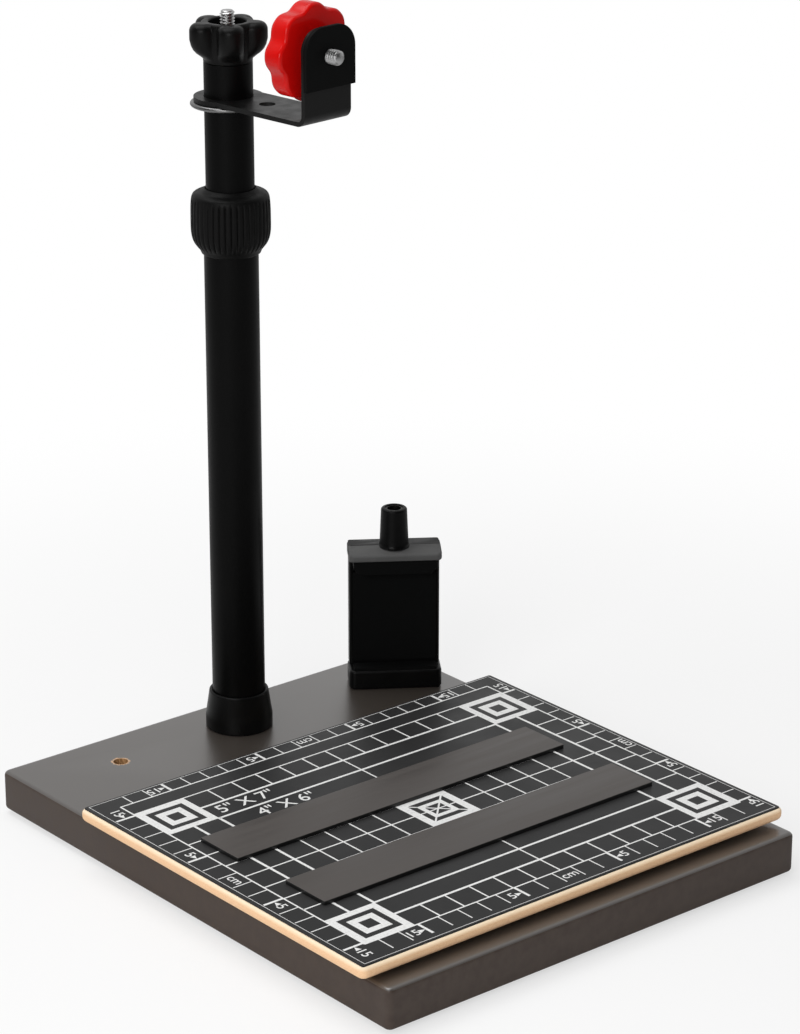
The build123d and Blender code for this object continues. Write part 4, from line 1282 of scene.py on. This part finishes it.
for side in (-1, 1):
    peg = [placed_ring(clamp_frame, *step, 24, side * peg_x, tongue_middle) for step in peg_profile]
    carve(ledge_piece, skin("peg", peg), "UNION")
shade(ledge_piece.data, 40)
finish_piece(ledge_piece, clamp_black)
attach(ledge_piece, "clamp_lower_jaw")
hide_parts("clamp_slide_jaw")

# ---------------------------------------------------------------- clamp body
# Upright housing, hollow behind, with the fixed upper jaw: a slanted top front
# and a lip under it, both in a paler matt black that is a painted sheen of light
# from above, and a tapered boss that holds a threaded insert.
clamp_height = 67.3
body_width = 41.4
body_low = 9.4
jaw_lip = 3.4
jaw_slope = 1.9
slope_depth = 9.6
boss_height = 17.6
boss_back = 1.8
boss_low_radius = 6.6
boss_high_radius = 5.95
boss_edge = 1.0
insert_hole = 4.175
insert_length = 12.0
cavity_top = 60.0
jaw_back = 7.0
jaw_front_y = -8.5
post_x = 10.9
post_radius = 1.8


def clamp_box(name, x0, x1, y0, y1, z0, z1, round_edge):
    """A block of the clamp with its upright edges rounded."""
    middle_x, middle_y = (x0 + x1) / 2, (y0 + y1) / 2
    outline = rounded_outline(x1 - x0, y1 - y0, round_edge, 6)
    rings = [[clamp_frame @ Vector((x + middle_x, y + middle_y, z)) for x, y in outline] for z in (z0, z1)]
    return skin(name, rings)


body_piece = clamp_box("clamp_housing", -body_width / 2, body_width / 2, plate_face, 8.5, body_low, clamp_height, 1.2)
jaw_low = clamp_height - jaw_slope - jaw_lip
jaw_side = [
    (jaw_front_y, jaw_low), (jaw_back, jaw_low), (jaw_back, clamp_height),
    (jaw_front_y + slope_depth, clamp_height), (jaw_front_y, clamp_height - jaw_slope),
]


def across_clamp(x):
    """Gives a side outline's (y, z) points their place at a distance across the clamp."""
    return lambda y, z: clamp_frame @ Vector((x, y, z))


upper_jaw = prism("upper_jaw", jaw_side, across_clamp(-jaw_width / 2), across_clamp(jaw_width / 2))
corner_block = clamp_box("corner_block", -jaw_width / 2, jaw_width / 2, jaw_front_y, 12.5, 50, 80, jaw_corner)
carve(upper_jaw, corner_block, "INTERSECT")
soften(upper_jaw, 0.9, 4)
carve(body_piece, upper_jaw, "UNION")
carve(body_piece, clamp_box("cavity", -18.5, 18.5, 2.0, 9.5, body_low - 1, cavity_top, 0.8))
for side_x in (-1, 1):
    for post_z in (body_low + 8.0, cavity_top - 8.0):
        post = []
        for depth in (1.5, 6.9):
            ring = circle_ring(side_x * post_x, post_z, post_radius, depth, 24)
            post.append([clamp_frame @ Vector((x, y, z)) for x, z, y in ring])
        carve(body_piece, skin("post", post), "UNION")
boss_top = clamp_height + boss_height
boss_profile = [(boss_low_radius + 0.9, clamp_height - 0.6), (boss_low_radius + 0.25, clamp_height + 0.15)]
boss_profile += [(boss_low_radius, clamp_height + 0.9), (boss_high_radius, boss_top - boss_edge)]
for k in range(1, 6):
    a = radians(90 * k / 5)
    boss_profile.append((boss_high_radius - boss_edge * (1 - cos(a)), boss_top - boss_edge * (1 - sin(a))))
boss = [placed_ring(clamp_frame, *step, 72, y=boss_back) for step in boss_profile]
carve(body_piece, skin("boss", boss), "UNION")
bore_span = (boss_top - insert_length, boss_top + 1)
insert_bore = [placed_ring(clamp_frame, insert_hole, z, 64, y=boss_back) for z in bore_span]
carve(body_piece, skin("insert_bore", insert_bore))
shade(body_piece.data, 38)
# Painted sheen: a paler black for the jaw's slope and lip, standing for light from above; the rest keeps the clamp's
# black.
slope_painted_sheen = grained_finish(
    "matt_black_painted_sheen", (0.10, 0.10, 0.10), 0.6, 0.2,
    cloud=(70,), tones=((0.066, 0.066, 0.066), (0.098, 0.098, 0.097)), grit=(3000, 2.0), depth=0.014,
)
finish_piece(body_piece, clamp_black, slope_painted_sheen)
jaw_front = (clamp_frame.to_3x3() @ Vector((0, -1, 0))).normalized()
boss_axis = clamp_frame @ Vector((0, boss_back, 0))
boss_foot = boss_low_radius + 1.2
# Faces across the upper jaw's front, bar the boss, take the painted-sheen black.
for face in body_piece.data.polygons:
    height = face.center.z / MM - base_top
    on_front = face.normal.z > -0.3 and face.normal.dot(jaw_front) > 0.12
    on_jaw = jaw_low < height <= clamp_height + 0.05
    on_boss = face.area < 3.0 * MM * MM and (face.center.xy / MM - boss_axis.xy).length < boss_foot
    if on_front and on_jaw and not on_boss:
        face.material_index = 1
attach(body_piece, "clamp_upper_jaw")
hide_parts("clamp_body")
dark_insert = grained_finish(
    "blackened_brass", (0.035, 0.033, 0.030), 0.38, metallic=1.0,
    cloud=(2500, 3.0, (1, 1, 6)), gloss=(0.3, 0.5), depth=0.01,
)
finish_piece(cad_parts["clamp_insert"], dark_insert)

# ---------------------------------------------------------------- clamp cover
# Flat moulded cover behind the springs, held by four small screws.
finish_piece(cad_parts["clamp_back_cover"], clamp_black)
finish_piece(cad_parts["clamp_cover_screws"], zinc)

# ---------------------------------------------------------------- clamp pads
# Thick rubber under the upper jaw with its lower corners cut, and thin pads on
# the ledge and the back plate.
upper_pad_half = 19.0
upper_pad_corner = 16.0
pad_shoulder = jaw_low - 3.4
upper_pad_low = jaw_low - 6.4
upper_pad = [(-upper_pad_half, jaw_low), (-upper_pad_half, pad_shoulder), (-upper_pad_corner, upper_pad_low)]
upper_pad += [(-x, z) for x, z in upper_pad[::-1]]


def along_clamp(y):
    """Gives a front outline's (x, z) points their place at a depth in the clamp."""
    return lambda x, z: clamp_frame @ Vector((x, y, z))


upper_pad_piece = prism("upper_jaw_pad", upper_pad, along_clamp(-7.5), along_clamp(plate_face))
soften(upper_pad_piece, 0.35)
finish_piece(upper_pad_piece, pad_rubber)
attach(upper_pad_piece, "clamp_upper_jaw")
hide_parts("clamp_upper_pad")
for pad_node in ("clamp_lower_pad", "clamp_face_pad"):
    finish_piece(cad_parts[pad_node], pad_rubber)

# ---------------------------------------------------------------- clamp springs
# Two bright extension springs that pull the jaws together, behind the cover.
finish_piece(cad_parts["clamp_springs"], bright_steel)
